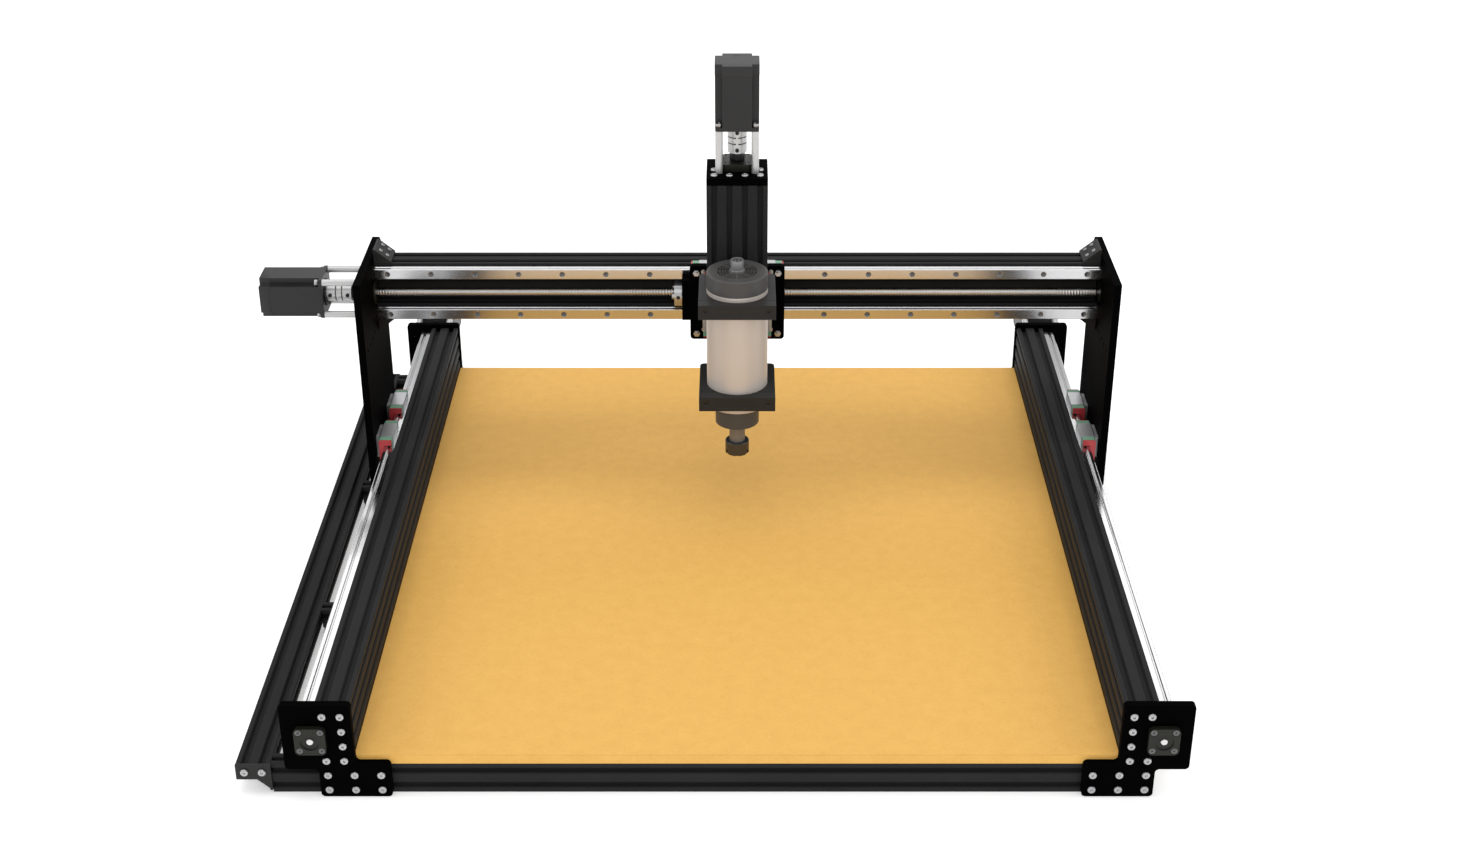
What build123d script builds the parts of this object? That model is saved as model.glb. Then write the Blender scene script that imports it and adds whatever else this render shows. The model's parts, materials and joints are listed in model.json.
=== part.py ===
from build123d import *
import os

os.makedirs("parts", exist_ok=True)

# Desktop CNC router: slotted extrusions, linear rails, ball screws and an 80 mm spindle.
# Millimetres. X runs to the right, Y to the back, Z up.
# The origin is the centre of the spoilboard's top face.

# ---------------------------------------------------------------- overall sizes
y_length = 1000.0  # Y beams, Y rails, spoilboard and chain bar
bed_width = 864.0  # clear width between the two Y beams
x_axis_z = 253.7  # middle of the X beam above the bed
z_beam_length = 300.0
z_beam_bottom = 147.5  # lower end of the Z beam above the bed
spoilboard_thickness = 12.0
cross_overhang = 56.0  # the cross-beams stick out past the left Y beam
middle_beam_y = (-170.0, 150.0)

# ---------------------------------------------------------------- slotted extrusions
module = 20.0
slot_mouth = 9.2
slot_neck = 6.2
slot_lip = 1.8
slot_cavity = 11.0
slot_shoulder = 3.2
slot_floor = 5.7
slot_depth = 6.1
core_hole_radius = 2.1
extrusion_corner = 1.0

# ---------------------------------------------------------------- linear rails and blocks
rail_width = 15.0
rail_height = 15.0
rail_groove_low = 6.5
rail_groove_high = 10.5
rail_groove_depth = 1.6
rail_hole_pitch = 60.0
rail_end_margin = 20.0
rail_hole_radius = 2.25
rail_counterbore_radius = 3.75
rail_counterbore_depth = 5.3
block_height = 28.0  # rail base to mounting face
block_lift = 4.3  # rail base to the underside of the block
block_pad_height = 4.0
block_width = 34.0
block_pad_width = 30.0
block_steel_length = 39.4
block_cap_length = 9.0
block_seal_length = 2.0
block_cap_inset = 0.6
block_seal_inset = 1.0
z_block_steel_length = 22.0
z_block_cap_length = 7.0
slide_gap = 0.3  # between a rail and what runs on it

# ---------------------------------------------------------------- ball screws
screw_radius = 6.0
screw_offset = 5.0  # screw axis outside the open face of its beam
fixed_journal_radius = 5.0
floating_journal_radius = 4.0
running_gap = 0.05  # radial, between a turning piece and its bearing
fit_gap = 0.02  # radial, between round pieces that are clamped or pressed together
nut_flange_radius = 21.0
nut_flange_flats = 30.0
nut_flange_length = 11.0
nut_body_radius = 12.0
nut_body_length = 32.0
nut_plate_thickness = 11.0
nut_screw_circle = 32.0
nut_screw_radius = 2.25
screw_end_gap = 4.0  # from the threaded part to the end plate

# ---------------------------------------------------------------- screw bearings
fixed_flange_radius = 26.0
fixed_flange_flats = 42.0
fixed_flange_length = 10.0
fixed_body_radius = 17.0
fixed_body_inset = 2.0  # past the plate's inner face
fixed_bearing_radius = 13.0
fixed_screw_circle = 42.0
lock_nut_radius = 10.0
lock_nut_length = 10.5
lock_nut_gap = 0.5
floating_flange_size = 35.0
floating_flange_corner = 6.0
floating_flange_length = 7.0
floating_body_radius = 14.0
floating_bearing_radius = 11.0
floating_screw_circle = 35.0
bearing_recess = 1.5  # of the ball bearing behind the floating housing's face
bearing_screw_radius = 2.25
bearing_counterbore_radius = 4.0
bearing_counterbore_depth = 4.5

# ---------------------------------------------------------------- motors and couplings
motor_size = 57.0
motor_notch = 9.4  # square notch along each corner of the body, for the flange's screws
motor_flange_length = 5.0
motor_body_length = 81.5
motor_bolt_pitch = 47.14
motor_hole_radius = 2.5
motor_boss_radius = 19.0
motor_boss_length = 1.6
motor_shaft_radius = 4.0
motor_shaft_depth = 20.0
standoff_length = 57.5
standoff_radius = 4.75
standoff_bore_radius = 2.1
coupling_radius = 12.5
coupling_length = 34.0
coupling_start = 21.5  # from the end plate's outer face
coupling_slot_width = 1.6
coupling_slots = (13.0, 21.5)  # from the screw's end of the coupling
coupling_web = 3.0  # left between the two halves of a slot
coupling_core = 1.5  # left round the bore

# ---------------------------------------------------------------- plates
frame_plate_thickness = 8.0
frame_plate_corner = 5.0
frame_plate_lap = 2.0  # of a corner plate over the bed's edge
frame_plate_rise = 6.0  # above the Y beam
frame_plate_drop = 2.0  # below the Y beam
foot_width = 81.0
foot_rise = 6.0  # of the foot above the cross-beam
gantry_plate_thickness = 10.0
gantry_plate_front = 113.0
gantry_plate_back = 298.0
gantry_plate_bottom = -7.0
gantry_plate_rise = 15.3  # above the X beam
gantry_plate_chamfer = 15.0
carriage_plate_width = 129.0
carriage_plate_height = 109.0
carriage_plate_drop = 2.2  # of its middle below the X beam's middle
carriage_plate_corner = 5.0
slide_plate_thickness = 10.0
top_plate_margin = 4.9  # behind the rear standoffs' axes
bottom_plate_margin = 18.0  # behind the Z screw's axis

# ---------------------------------------------------------------- places at rest
x_beam_front = 223.4
y_block_front = 117.3
y_block_pitch = 97.1
y_rail_rise = 30.0  # of the Y rail's middle above the Y screw's axis
x_rail_spread = 60.0
x_block_pitch = 65.0
z_rail_spread = 60.0
z_block_bottom = 210.0
z_block_pitch = 48.0

# ---------------------------------------------------------------- spindle
spindle_reach = 55.4  # spindle axis in front of the Z beam
spindle_radius = 40.0
spindle_bottom = 164.0
spindle_length = 166.0
spindle_wall = 5.0
cap_length = 22.0
grille_radius = 27.0
grille_rings = (24.6, 20.9, 17.2, 13.5)  # the widest first, because each one clears its middle
grille_slot = 2.0
grille_ribs = 8
grille_rib_width = 2.0
grille_skin = 2.5
connector_radius = 8.5
connector_length = 15.5
connector_base_radius = 10.0
connector_base_length = 2.5
connector_wall = 1.8
nose_radius = 29.0
nose_length = 29.0
nose_spigot_length = 12.0
nose_notch_width = 15.0
nose_notch_height = 6.0
nose_notch_depth = 2.5
shaft_radius = 10.5
shaft_length = 44.0  # below the nose
shaft_journal_radius = 10.0
rotor_radius = 22.0
stator_gap = 1.0
stator_length = 80.0
spindle_bearing_radius = 17.5
spindle_bearing_length = 11.0
collet_nut_radius = 16.0
collet_nut_length = 18.5
collet_nut_floor = 3.5
collet_nut_slots = 6
collet_slot_width = 4.0
collet_slot_depth = 2.0
collet_slot_height = 7.0
collet_mouth_radius = 7.0
collet_small_radius = 5.5
collet_large_radius = 8.5
collet_length = 24.0
tool_radius = 3.0
clamp_width = 100.0
clamp_height = 20.0
clamp_front = 48.0  # from the spindle's axis to the clamp's front face
clamp_split = 31.0  # from the spindle's axis to the split
clamp_gap = 1.0
clamp_corner = 6.0
clamp_screw_x = 40.5
clamp_bottoms = (172.5, 304.0)
label_width = 53.0
label_height = 11.0
label_depth = 0.5

# ---------------------------------------------------------------- fasteners
button_radius = 4.75
button_height = 2.7
button_rounding = 2.0
button_socket = 1.75
button_socket_depth = 1.6
screw_shank_radius = 2.05
plate_hole_radius = 2.75
screw_reach = 10.0  # of a plate screw past the plate
cap_radius = 4.25
cap_height = 5.0
socket_share = 0.45  # of a cap screw's head radius
motor_screw_bite = 12.0  # of a motor screw into its standoff
bearing_screw_length = 8.0
head_gap = 0.4  # round a head in its counterbore
rail_head_radius = 3.5
rail_head_height = 4.0
rail_screw_reach = 5.0
block_head_radius = 3.5
block_head_height = 4.0
block_screw_bite = 5.0
block_hole_depth = 6.0
tee_nut_length = 12.0
tee_nut_width = 8.0
tee_nut_thickness = 3.0
slot_screw_reach = 5.6  # of a screw into a slot

# ---------------------------------------------------------------- worked-out places
c_width = 4 * module
c_depth = 2 * module
y_beam_bottom = -spoilboard_thickness
y_axis_z = y_beam_bottom + c_width / 2
floor_z = y_beam_bottom - 2 * module
beam_inner = bed_width / 2
beam_outer = beam_inner + c_depth
y_half = y_length / 2
cross_left = -beam_outer - cross_overhang
cross_length = beam_outer - cross_left
cross_beam_y = (-y_half + module / 2,) + middle_beam_y + (y_half - module / 2,)
chain_bar_x = cross_left - module
y_screw_x = beam_outer + screw_offset
y_rail_z = y_axis_z + y_rail_rise
plate_inner = beam_outer + block_height
plate_outer = plate_inner + gantry_plate_thickness
x_beam_back = x_beam_front + c_depth
x_screw_y = x_beam_front - screw_offset
x_rail_zs = (x_axis_z - x_rail_spread / 2, x_axis_z + x_rail_spread / 2)
carriage_back = x_beam_front - block_height
carriage_front = carriage_back - slide_plate_thickness
carriage_z = x_axis_z - carriage_plate_drop
z_beam_back = carriage_front - block_height
z_beam_front = z_beam_back - c_depth
z_beam_top = z_beam_bottom + z_beam_length
z_screw_y = z_beam_back + screw_offset
z_rail_xs = (-z_rail_spread / 2, z_rail_spread / 2)
spindle_y = z_beam_front - spindle_reach
nose_bottom = spindle_bottom - nose_length
shaft_bottom = nose_bottom - shaft_length
gantry_screw_z = x_axis_z - c_width / 2 - 9.7
block_length = block_steel_length + 2 * (block_cap_length + block_seal_length)
z_block_length = z_block_steel_length + 2 * (z_block_cap_length + block_seal_length)
motor_face = standoff_length

# Planes whose Z axis leaves an end plate along its screw, towards the motor.
y_plate_face = y_half + frame_plate_thickness
y_drive_planes = {
    "left": Plane(origin=(-y_screw_x, y_plate_face, y_axis_z), x_dir=(1, 0, 0), z_dir=(0, 1, 0)),
    "right": Plane(origin=(y_screw_x, y_plate_face, y_axis_z), x_dir=(1, 0, 0), z_dir=(0, 1, 0)),
}
x_drive_plane = Plane(origin=(-plate_outer, x_screw_y, x_axis_z), x_dir=(0, 1, 0), z_dir=(-1, 0, 0))
z_drive_plane = Plane(origin=(0, z_screw_y, z_beam_top + slide_plate_thickness))

# Planes whose Z axis leaves the far end plate, away from the motor.
y_far_planes = {
    "left": Plane(origin=(-y_screw_x, -y_plate_face, y_axis_z), x_dir=(1, 0, 0), z_dir=(0, -1, 0)),
    "right": Plane(origin=(y_screw_x, -y_plate_face, y_axis_z), x_dir=(1, 0, 0), z_dir=(0, -1, 0)),
}
x_far_plane = Plane(origin=(plate_outer, x_screw_y, x_axis_z), x_dir=(0, 1, 0), z_dir=(1, 0, 0))
z_far_plane = Plane(
    origin=(0, z_screw_y, z_beam_bottom - slide_plate_thickness), x_dir=(1, 0, 0), z_dir=(0, 0, -1)
)


# ---------------------------------------------------------------- sections
slot_outline = [
    (-slot_mouth / 2, 0),
    (-slot_neck / 2, -slot_lip),
    (-slot_cavity / 2, -slot_lip),
    (-slot_cavity / 2, -slot_shoulder),
    (-slot_floor / 2, -slot_depth),
    (slot_floor / 2, -slot_depth),
    (slot_cavity / 2, -slot_shoulder),
    (slot_cavity / 2, -slot_lip),
    (slot_neck / 2, -slot_lip),
    (slot_mouth / 2, 0),
]


def cut_slot(x, y, angle):
    """Cut one slot; at angle 0 its mouth opens towards +Y of the sketch."""
    with Locations((x, y)):
        Polygon(*slot_outline, rotation=angle, align=None, mode=Mode.SUBTRACT)


def bar_section(modules_wide, modules_tall):
    """Section of a slotted bar, centred on its axis."""
    width = modules_wide * module
    height = modules_tall * module
    xs = [module * (i + 0.5) - width / 2 for i in range(modules_wide)]
    ys = [module * (i + 0.5) - height / 2 for i in range(modules_tall)]
    with BuildSketch() as section:
        RectangleRounded(width, height, extrusion_corner)
        for x in xs:
            cut_slot(x, height / 2, 0)
            cut_slot(x, -height / 2, 180)
        for y in ys:
            cut_slot(width / 2, y, -90)
            cut_slot(-width / 2, y, 90)
        with Locations(*[(x, y) for x in xs for y in ys]):
            Circle(core_hole_radius, mode=Mode.SUBTRACT)
    return section.sketch


def channel_section():
    """C-shaped section; its closed back lies on y = 0 and it opens towards +Y."""
    half = c_width / 2
    with BuildSketch() as section:
        with Locations((0, c_depth / 2)):
            RectangleRounded(c_width, c_depth, extrusion_corner)
        with Locations((0, 1.5 * module)):
            Rectangle(2 * module, module, mode=Mode.SUBTRACT)
        for x in (-1.5 * module, -0.5 * module, 0.5 * module, 1.5 * module):
            cut_slot(x, 0, 180)
        for x in (-1.5 * module, 1.5 * module):
            cut_slot(x, c_depth, 0)
        for x in (-0.5 * module, 0.5 * module):
            cut_slot(x, module, 0)
        for y in (0.5 * module, 1.5 * module):
            cut_slot(half, y, -90)
            cut_slot(-half, y, 90)
        cut_slot(-module, 1.5 * module, -90)
        cut_slot(module, 1.5 * module, 90)
        with Locations(*channel_holes):
            Circle(core_hole_radius, mode=Mode.SUBTRACT)
    return section.sketch


channel_holes = [(module * (i - 1.5), module / 2) for i in range(4)]
channel_holes += [(-1.5 * module, 1.5 * module), (1.5 * module, 1.5 * module)]


def rail_section():
    """Section of a linear rail, standing on y = 0, with a ball groove in each flank."""
    half = rail_width / 2
    waist = half - rail_groove_depth
    with BuildSketch() as section:
        with BuildLine():
            Polyline(
                (0, 0),
                (half, 0),
                (half, rail_groove_low),
                (waist, rail_groove_low + rail_groove_depth),
                (waist, rail_groove_high - rail_groove_depth),
                (half, rail_groove_high),
                (half, rail_height - 0.8),
                (half - 0.8, rail_height),
                (0, rail_height),
            )
            mirror(about=Plane.YZ)
        make_face()
    return section.sketch


def block_section(inset):
    """Section of a carriage block over a rail that stands on y = 0, shrunk all round by the inset."""
    half = block_width / 2 - inset
    shoulder = block_height - block_pad_height - inset
    with BuildSketch() as section:
        with BuildLine():
            Polyline(
                (-half, block_lift + inset),
                (-half, shoulder - 2),
                (-half + 2, shoulder),
                (half - 2, shoulder),
                (half, shoulder - 2),
                (half, block_lift + inset),
                close=True,
            )
        make_face()
        with Locations((0, (rail_height + slide_gap) / 2)):
            Rectangle(rail_width + 2 * slide_gap, rail_height + slide_gap, mode=Mode.SUBTRACT)
    return section.sketch


def y_beam_plane(side, along, across_x, z):
    """Plane at one end of a beam or rail along Y, its Y axis pointing away from the bed."""
    return Plane(origin=(side * across_x, -side * along, z), x_dir=(0, 0, 1), z_dir=(0, side, 0))


def x_beam_plane(along, y, z):
    """Plane at the left end of a beam or rail along X, its Y axis pointing to the front."""
    return Plane(origin=(-along, y, z), x_dir=(0, 0, 1), z_dir=(1, 0, 0))


# ---------------------------------------------------------------- repeated shapes
def rail_hole_offsets(length):
    """Places of a rail's screw holes along it, from its middle."""
    count = int((length - 2 * rail_end_margin) / rail_hole_pitch + 1e-6) + 1
    return [rail_hole_pitch * (i - (count - 1) / 2) for i in range(count)]


def add_block(plane, steel_length):
    """Steel middle of a carriage block; the plane is across the rail at the block's middle."""
    start = plane.offset(-steel_length / 2)
    with BuildSketch(start) as outline:
        add(block_section(0))
    extrude(outline.sketch, amount=steel_length)
    with BuildSketch(start) as outline:
        with Locations((0, block_height - block_pad_height / 2)):
            Rectangle(block_pad_width, block_pad_height)
    extrude(outline.sketch, amount=steel_length)


def add_block_ends(plane, steel_length, start, length, inset):
    """A pair of plates at the two ends of a carriage block."""
    for turn in (1, -1):
        near = steel_length / 2 + start
        begin = plane.offset(near if turn > 0 else -near - length)
        with BuildSketch(begin) as outline:
            add(block_section(inset))
        extrude(outline.sketch, amount=length)


def add_motor(plane):
    """Stepper motor standing on its standoffs; the plane is the end plate's outer face."""
    face = plane.offset(motor_face)
    with BuildSketch(face) as outline:
        RectangleRounded(motor_size, motor_size, 4)
        with GridLocations(motor_bolt_pitch, motor_bolt_pitch, 2, 2):
            Circle(motor_hole_radius, mode=Mode.SUBTRACT)
    extrude(outline.sketch, amount=motor_flange_length)
    with BuildSketch(face.offset(motor_flange_length)) as body:
        Rectangle(motor_size, motor_size)
        with GridLocations(motor_size - motor_notch, motor_size - motor_notch, 2, 2):
            Rectangle(motor_notch, motor_notch, mode=Mode.SUBTRACT)
    extrude(body.sketch, amount=motor_body_length)
    with BuildSketch(face) as outline:
        Circle(motor_boss_radius)
    extrude(outline.sketch, amount=-motor_boss_length)
    with BuildSketch(face.offset(-motor_boss_length)) as outline:
        Circle(motor_shaft_radius + running_gap)
    extrude(outline.sketch, amount=motor_shaft_depth + 1, mode=Mode.SUBTRACT)


def add_standoffs(plane):
    """Four hollow pillars between an end plate and its motor."""
    with BuildSketch(plane) as outline:
        with GridLocations(motor_bolt_pitch, motor_bolt_pitch, 2, 2):
            Circle(standoff_radius)
            Circle(standoff_bore_radius, mode=Mode.SUBTRACT)
    extrude(outline.sketch, amount=standoff_length)


def add_drive(plane):
    """Slotted coupling on the screw's end, and the motor shaft clamped in it."""
    split = coupling_start + coupling_length / 2
    with BuildSketch(plane.offset(coupling_start)) as outline:
        Circle(coupling_radius)
        Circle(fixed_journal_radius, mode=Mode.SUBTRACT)
    extrude(outline.sketch, amount=coupling_length / 2)
    with BuildSketch(plane.offset(split)) as outline:
        Circle(coupling_radius)
        Circle(motor_shaft_radius, mode=Mode.SUBTRACT)
    extrude(outline.sketch, amount=coupling_length / 2)
    for start in coupling_slots:
        with BuildSketch(plane.offset(coupling_start + start - coupling_slot_width / 2)) as outline:
            Circle(coupling_radius + 1)
            Circle(fixed_journal_radius + coupling_core, mode=Mode.SUBTRACT)
            Rectangle(coupling_web, 3 * coupling_radius, mode=Mode.SUBTRACT)
        extrude(outline.sketch, amount=coupling_slot_width, mode=Mode.SUBTRACT)
    with BuildSketch(plane.offset(split + 1)) as outline:
        Circle(motor_shaft_radius - fit_gap)
    extrude(outline.sketch, amount=motor_face + motor_shaft_depth - 3 - split)


def cut_bearing_screw_hole(flange_length):
    """Counterbored screw hole through a bearing flange."""
    CounterBoreHole(
        bearing_screw_radius, bearing_counterbore_radius, bearing_counterbore_depth, depth=flange_length
    )


def add_fixed_bearing(plane, plate_thickness):
    """Flanged housing on an end plate's outer face, with its ball bearing."""
    inner = -plate_thickness - fixed_body_inset
    with BuildSketch(plane) as outline:
        Circle(fixed_flange_radius)
        Rectangle(2 * fixed_flange_radius, fixed_flange_flats, mode=Mode.INTERSECT)
    extrude(outline.sketch, amount=fixed_flange_length)
    with BuildSketch(plane.offset(inner)) as outline:
        Circle(fixed_body_radius)
    extrude(outline.sketch, amount=-inner)
    with BuildSketch(plane.offset(inner)) as outline:
        Circle(fixed_bearing_radius)
    extrude(outline.sketch, amount=fixed_flange_length - inner, mode=Mode.SUBTRACT)
    journal = fixed_journal_radius + running_gap
    add_ring(plane, inner, fixed_flange_length - inner, fixed_bearing_radius - fit_gap, journal)
    with Locations(plane.offset(fixed_flange_length)):
        with PolarLocations(fixed_screw_circle / 2, 4, start_angle=45):
            cut_bearing_screw_hole(fixed_flange_length)


def add_floating_bearing(plane, plate_thickness):
    """Square flanged housing on the far end plate, with its ball bearing."""
    with BuildSketch(plane) as outline:
        RectangleRounded(floating_flange_size, floating_flange_size, floating_flange_corner)
    extrude(outline.sketch, amount=floating_flange_length)
    with BuildSketch(plane.offset(-plate_thickness)) as outline:
        Circle(floating_body_radius)
    extrude(outline.sketch, amount=plate_thickness)
    with BuildSketch(plane.offset(-plate_thickness)) as outline:
        Circle(floating_bearing_radius)
    extrude(outline.sketch, amount=plate_thickness + floating_flange_length, mode=Mode.SUBTRACT)
    length = plate_thickness + floating_flange_length - bearing_recess
    journal = floating_journal_radius + running_gap
    add_ring(plane, -plate_thickness, length, floating_bearing_radius - fit_gap, journal)
    with Locations(plane.offset(floating_flange_length)):
        with PolarLocations(floating_screw_circle / 2, 4, start_angle=45):
            cut_bearing_screw_hole(floating_flange_length)


def add_ring(plane, start, length, outer, inner):
    """Ball bearing, drawn as one ring, along the plane's axis."""
    with BuildSketch(plane.offset(start)) as outline:
        Circle(outer)
        Circle(inner, mode=Mode.SUBTRACT)
    extrude(outline.sketch, amount=length)


def add_screw(plane, plate_thickness, thread_length):
    """Ball screw with its journals and lock nut; the plane is the end plate's outer face."""
    inner = -plate_thickness
    thread_start = inner - screw_end_gap
    with BuildSketch(plane.offset(thread_start - thread_length)) as outline:
        Circle(screw_radius)
    extrude(outline.sketch, amount=thread_length)
    with BuildSketch(plane.offset(thread_start)) as outline:
        Circle(fixed_journal_radius)
    extrude(outline.sketch, amount=coupling_start + coupling_length / 2 - 1 - thread_start)
    far_length = screw_end_gap + plate_thickness + floating_flange_length
    with BuildSketch(plane.offset(thread_start - thread_length)) as outline:
        Circle(floating_journal_radius)
    extrude(outline.sketch, amount=-far_length)


def add_lock_nut(plane):
    """Round nut that holds the screw against its fixed bearing."""
    start = fixed_flange_length + lock_nut_gap
    add_ring(plane, start, lock_nut_length, lock_nut_radius, fixed_journal_radius + fit_gap)


def make_button_screw(shank_length):
    """Button-head screw, head up, its seat on z = 0."""
    with BuildPart() as screw:
        with BuildSketch():
            Circle(button_radius)
        extrude(amount=button_height)
        fillet(screw.edges().group_by(Axis.Z)[-1], button_rounding)
        with BuildSketch(Plane.XY.offset(button_height)):
            RegularPolygon(button_socket, 6)
        extrude(amount=-button_socket_depth, mode=Mode.SUBTRACT)
        with BuildSketch():
            Circle(screw_shank_radius)
        extrude(amount=-shank_length)
    return screw.part


def make_cap_screw(radius, height, shank_radius, shank_length):
    """Socket-head cap screw, head up, its seat on z = 0."""
    with BuildPart() as screw:
        with BuildSketch():
            Circle(radius)
        extrude(amount=height)
        with BuildSketch(Plane.XY.offset(height)):
            RegularPolygon(radius * socket_share, 6)
        extrude(amount=-height / 2, mode=Mode.SUBTRACT)
        with BuildSketch():
            Circle(shank_radius)
        extrude(amount=-shank_length)
    return screw.part


plate_screw = make_button_screw(frame_plate_thickness + screw_reach)
slot_screw = make_button_screw(frame_plate_thickness + slot_screw_reach)
rail_screw = make_cap_screw(
    rail_head_radius,
    rail_head_height,
    screw_shank_radius,
    rail_height - rail_counterbore_depth + rail_screw_reach,
)
motor_screw = make_cap_screw(
    cap_radius, cap_height, standoff_bore_radius - running_gap, motor_flange_length + motor_screw_bite
)
bearing_screw = make_cap_screw(
    bearing_counterbore_radius - head_gap,
    bearing_counterbore_depth - head_gap,
    screw_shank_radius,
    bearing_screw_length,
)


def add_tee_nut(*planes):
    """Tee nuts in a slot; each plane lies on the slotted face, its X axis along the slot."""
    with BuildSketch(*[plane.offset(-slot_lip) for plane in planes]) as outline:
        Rectangle(tee_nut_length, tee_nut_width)
        Circle(screw_shank_radius + fit_gap, mode=Mode.SUBTRACT)
    extrude(outline.sketch, amount=-tee_nut_thickness)


def add_motor_screws(plane):
    """Four cap screws behind a motor's flange, into its standoffs."""
    with Locations(plane.offset(motor_face + motor_flange_length)):
        with GridLocations(motor_bolt_pitch, motor_bolt_pitch, 2, 2):
            add(motor_screw)


def add_bearing_screws(plane, flange_length, circle):
    """Four cap screws in the counterbores of a bearing flange."""
    with Locations(plane.offset(flange_length - bearing_counterbore_depth)):
        with PolarLocations(circle / 2, 4, start_angle=45):
            add(bearing_screw)


def cut_bearing_seat(plane, plate_thickness, body_radius, circle):
    """Bore and four screw holes for a bearing housing, through an end plate."""
    with BuildSketch(plane) as outline:
        Circle(body_radius)
        with PolarLocations(circle / 2, 4, start_angle=45):
            Circle(screw_shank_radius)
    extrude(outline.sketch, amount=-plate_thickness, mode=Mode.SUBTRACT)


def cut_standoff_holes(plane, plate_thickness):
    """Four screw holes through an end plate, one under each standoff."""
    with BuildSketch(plane) as outline:
        with GridLocations(motor_bolt_pitch, motor_bolt_pitch, 2, 2):
            Circle(standoff_bore_radius)
    extrude(outline.sketch, amount=-plate_thickness, mode=Mode.SUBTRACT)


# ================================================================ fixed frame
with BuildPart() as cross_beams:
    for y in cross_beam_y:
        with BuildSketch(Plane(origin=(cross_left, y, floor_z + module), x_dir=(0, 1, 0), z_dir=(1, 0, 0))):
            add(bar_section(1, 2))
        extrude(amount=cross_length)
cross_beams.part.label = "cross_beams"
export_step(cross_beams.part, "parts/cross_beams.step")

for name, side in (("left", -1), ("right", 1)):
    with BuildPart() as y_beam:
        with BuildSketch(y_beam_plane(side, y_half, beam_inner, y_axis_z)):
            add(channel_section())
        extrude(amount=y_length)
    y_beam.part.label = f"y_beam_{name}"
    export_step(y_beam.part, f"parts/y_beam_{name}.step")

with BuildPart() as spoilboard:
    with BuildSketch(Plane.XY.offset(-spoilboard_thickness)):
        Rectangle(bed_width, y_length)
    extrude(amount=spoilboard_thickness)
spoilboard.part.label = "spoilboard"
export_step(spoilboard.part, "parts/spoilboard.step")

# Screws of a corner plate: into the Y beam's end, then into the cross-beam's two slots.
beam_end_holes = [(beam_inner + y, y_axis_z + x) for x, y in channel_holes]
foot_middle = beam_inner
foot_spacing = 30.0
foot_holes = [
    (foot_middle + foot_spacing * i, floor_z + module * (j + 0.5)) for i in (-1, 0, 1) for j in (0, 1)
]
plate_top = y_beam_bottom + c_width + frame_plate_rise
plate_low = y_beam_bottom - frame_plate_drop


def add_corner_plate(plane):
    """Right-hand corner plate: an upright over the beam's end and a foot over the cross-beam."""
    upright_width = plate_outer - beam_inner + frame_plate_lap
    upright_height = plate_top - plate_low
    foot_height = 2 * module + foot_rise
    with BuildSketch(plane) as outline:
        with Locations((plate_outer - upright_width / 2, plate_top - upright_height / 2)):
            Rectangle(upright_width, upright_height)
        with Locations((beam_outer - foot_width / 2, floor_z + foot_height / 2)):
            Rectangle(foot_width, foot_height)
        fillet(outline.vertices(), frame_plate_corner)
        with Locations(*beam_end_holes, *foot_holes):
            Circle(plate_hole_radius, mode=Mode.SUBTRACT)
    extrude(outline.sketch, amount=frame_plate_thickness)


with BuildPart() as front_plates:
    add_corner_plate(Plane.XZ.offset(y_half))
    cut_bearing_seat(
        y_far_planes["right"], frame_plate_thickness, floating_body_radius, floating_screw_circle
    )
    mirror(about=Plane.YZ)
front_plates.part.label = "front_plates"
export_step(front_plates.part, "parts/front_plates.step")

with BuildPart() as rear_plates:
    add_corner_plate(Plane.XZ.offset(-y_half - frame_plate_thickness))
    cut_bearing_seat(y_drive_planes["right"], frame_plate_thickness, fixed_body_radius, fixed_screw_circle)
    cut_standoff_holes(y_drive_planes["right"], frame_plate_thickness)
    mirror(about=Plane.YZ)
rear_plates.part.label = "rear_plates"
export_step(rear_plates.part, "parts/rear_plates.step")

chain_bar_start = (chain_bar_x, -y_half, y_beam_bottom - module / 2)

with BuildPart() as chain_bar:
    with BuildSketch(Plane(origin=chain_bar_start, x_dir=(1, 0, 0), z_dir=(0, 1, 0))):
        add(bar_section(2, 1))
    extrude(amount=y_length)
chain_bar.part.label = "chain_bar"
export_step(chain_bar.part, "parts/chain_bar.step")

bracket_thickness = 3.0
bracket_drop = 15.0
bracket_leg_depth = 19.0
bracket_slope_start = 16.5
bar_bottom = y_beam_bottom - module
bracket_holes = [(chain_bar_x + dx, bar_bottom + module / 2) for dx in (-module / 2, module / 2)]
bracket_foot_gap = 0.3  # between a bracket's leg and the floor

with BuildPart() as chain_bar_brackets:
    with BuildSketch(Plane.XZ.offset(y_half)):
        with BuildLine():
            Polyline(
                (cross_left - 2 * module, bar_bottom),
                (cross_left - 2 * module, y_beam_bottom),
                (cross_left, y_beam_bottom),
                (cross_left, bar_bottom - bracket_drop),
                (cross_left - bracket_slope_start, bar_bottom),
                close=True,
            )
        make_face()
        with Locations(*bracket_holes):
            Circle(plate_hole_radius, mode=Mode.SUBTRACT)
    extrude(amount=bracket_thickness)
    with BuildSketch(Plane.XZ.offset(y_half - bracket_leg_depth)):
        with Locations((cross_left - bracket_thickness / 2, bar_bottom - bracket_drop / 2)):
            Rectangle(bracket_thickness, bracket_drop - bracket_foot_gap)
    extrude(amount=bracket_leg_depth + bracket_thickness)
    mirror(about=Plane.XZ)
chain_bar_brackets.part.label = "chain_bar_brackets"
export_step(chain_bar_brackets.part, "parts/chain_bar_brackets.step")

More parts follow.
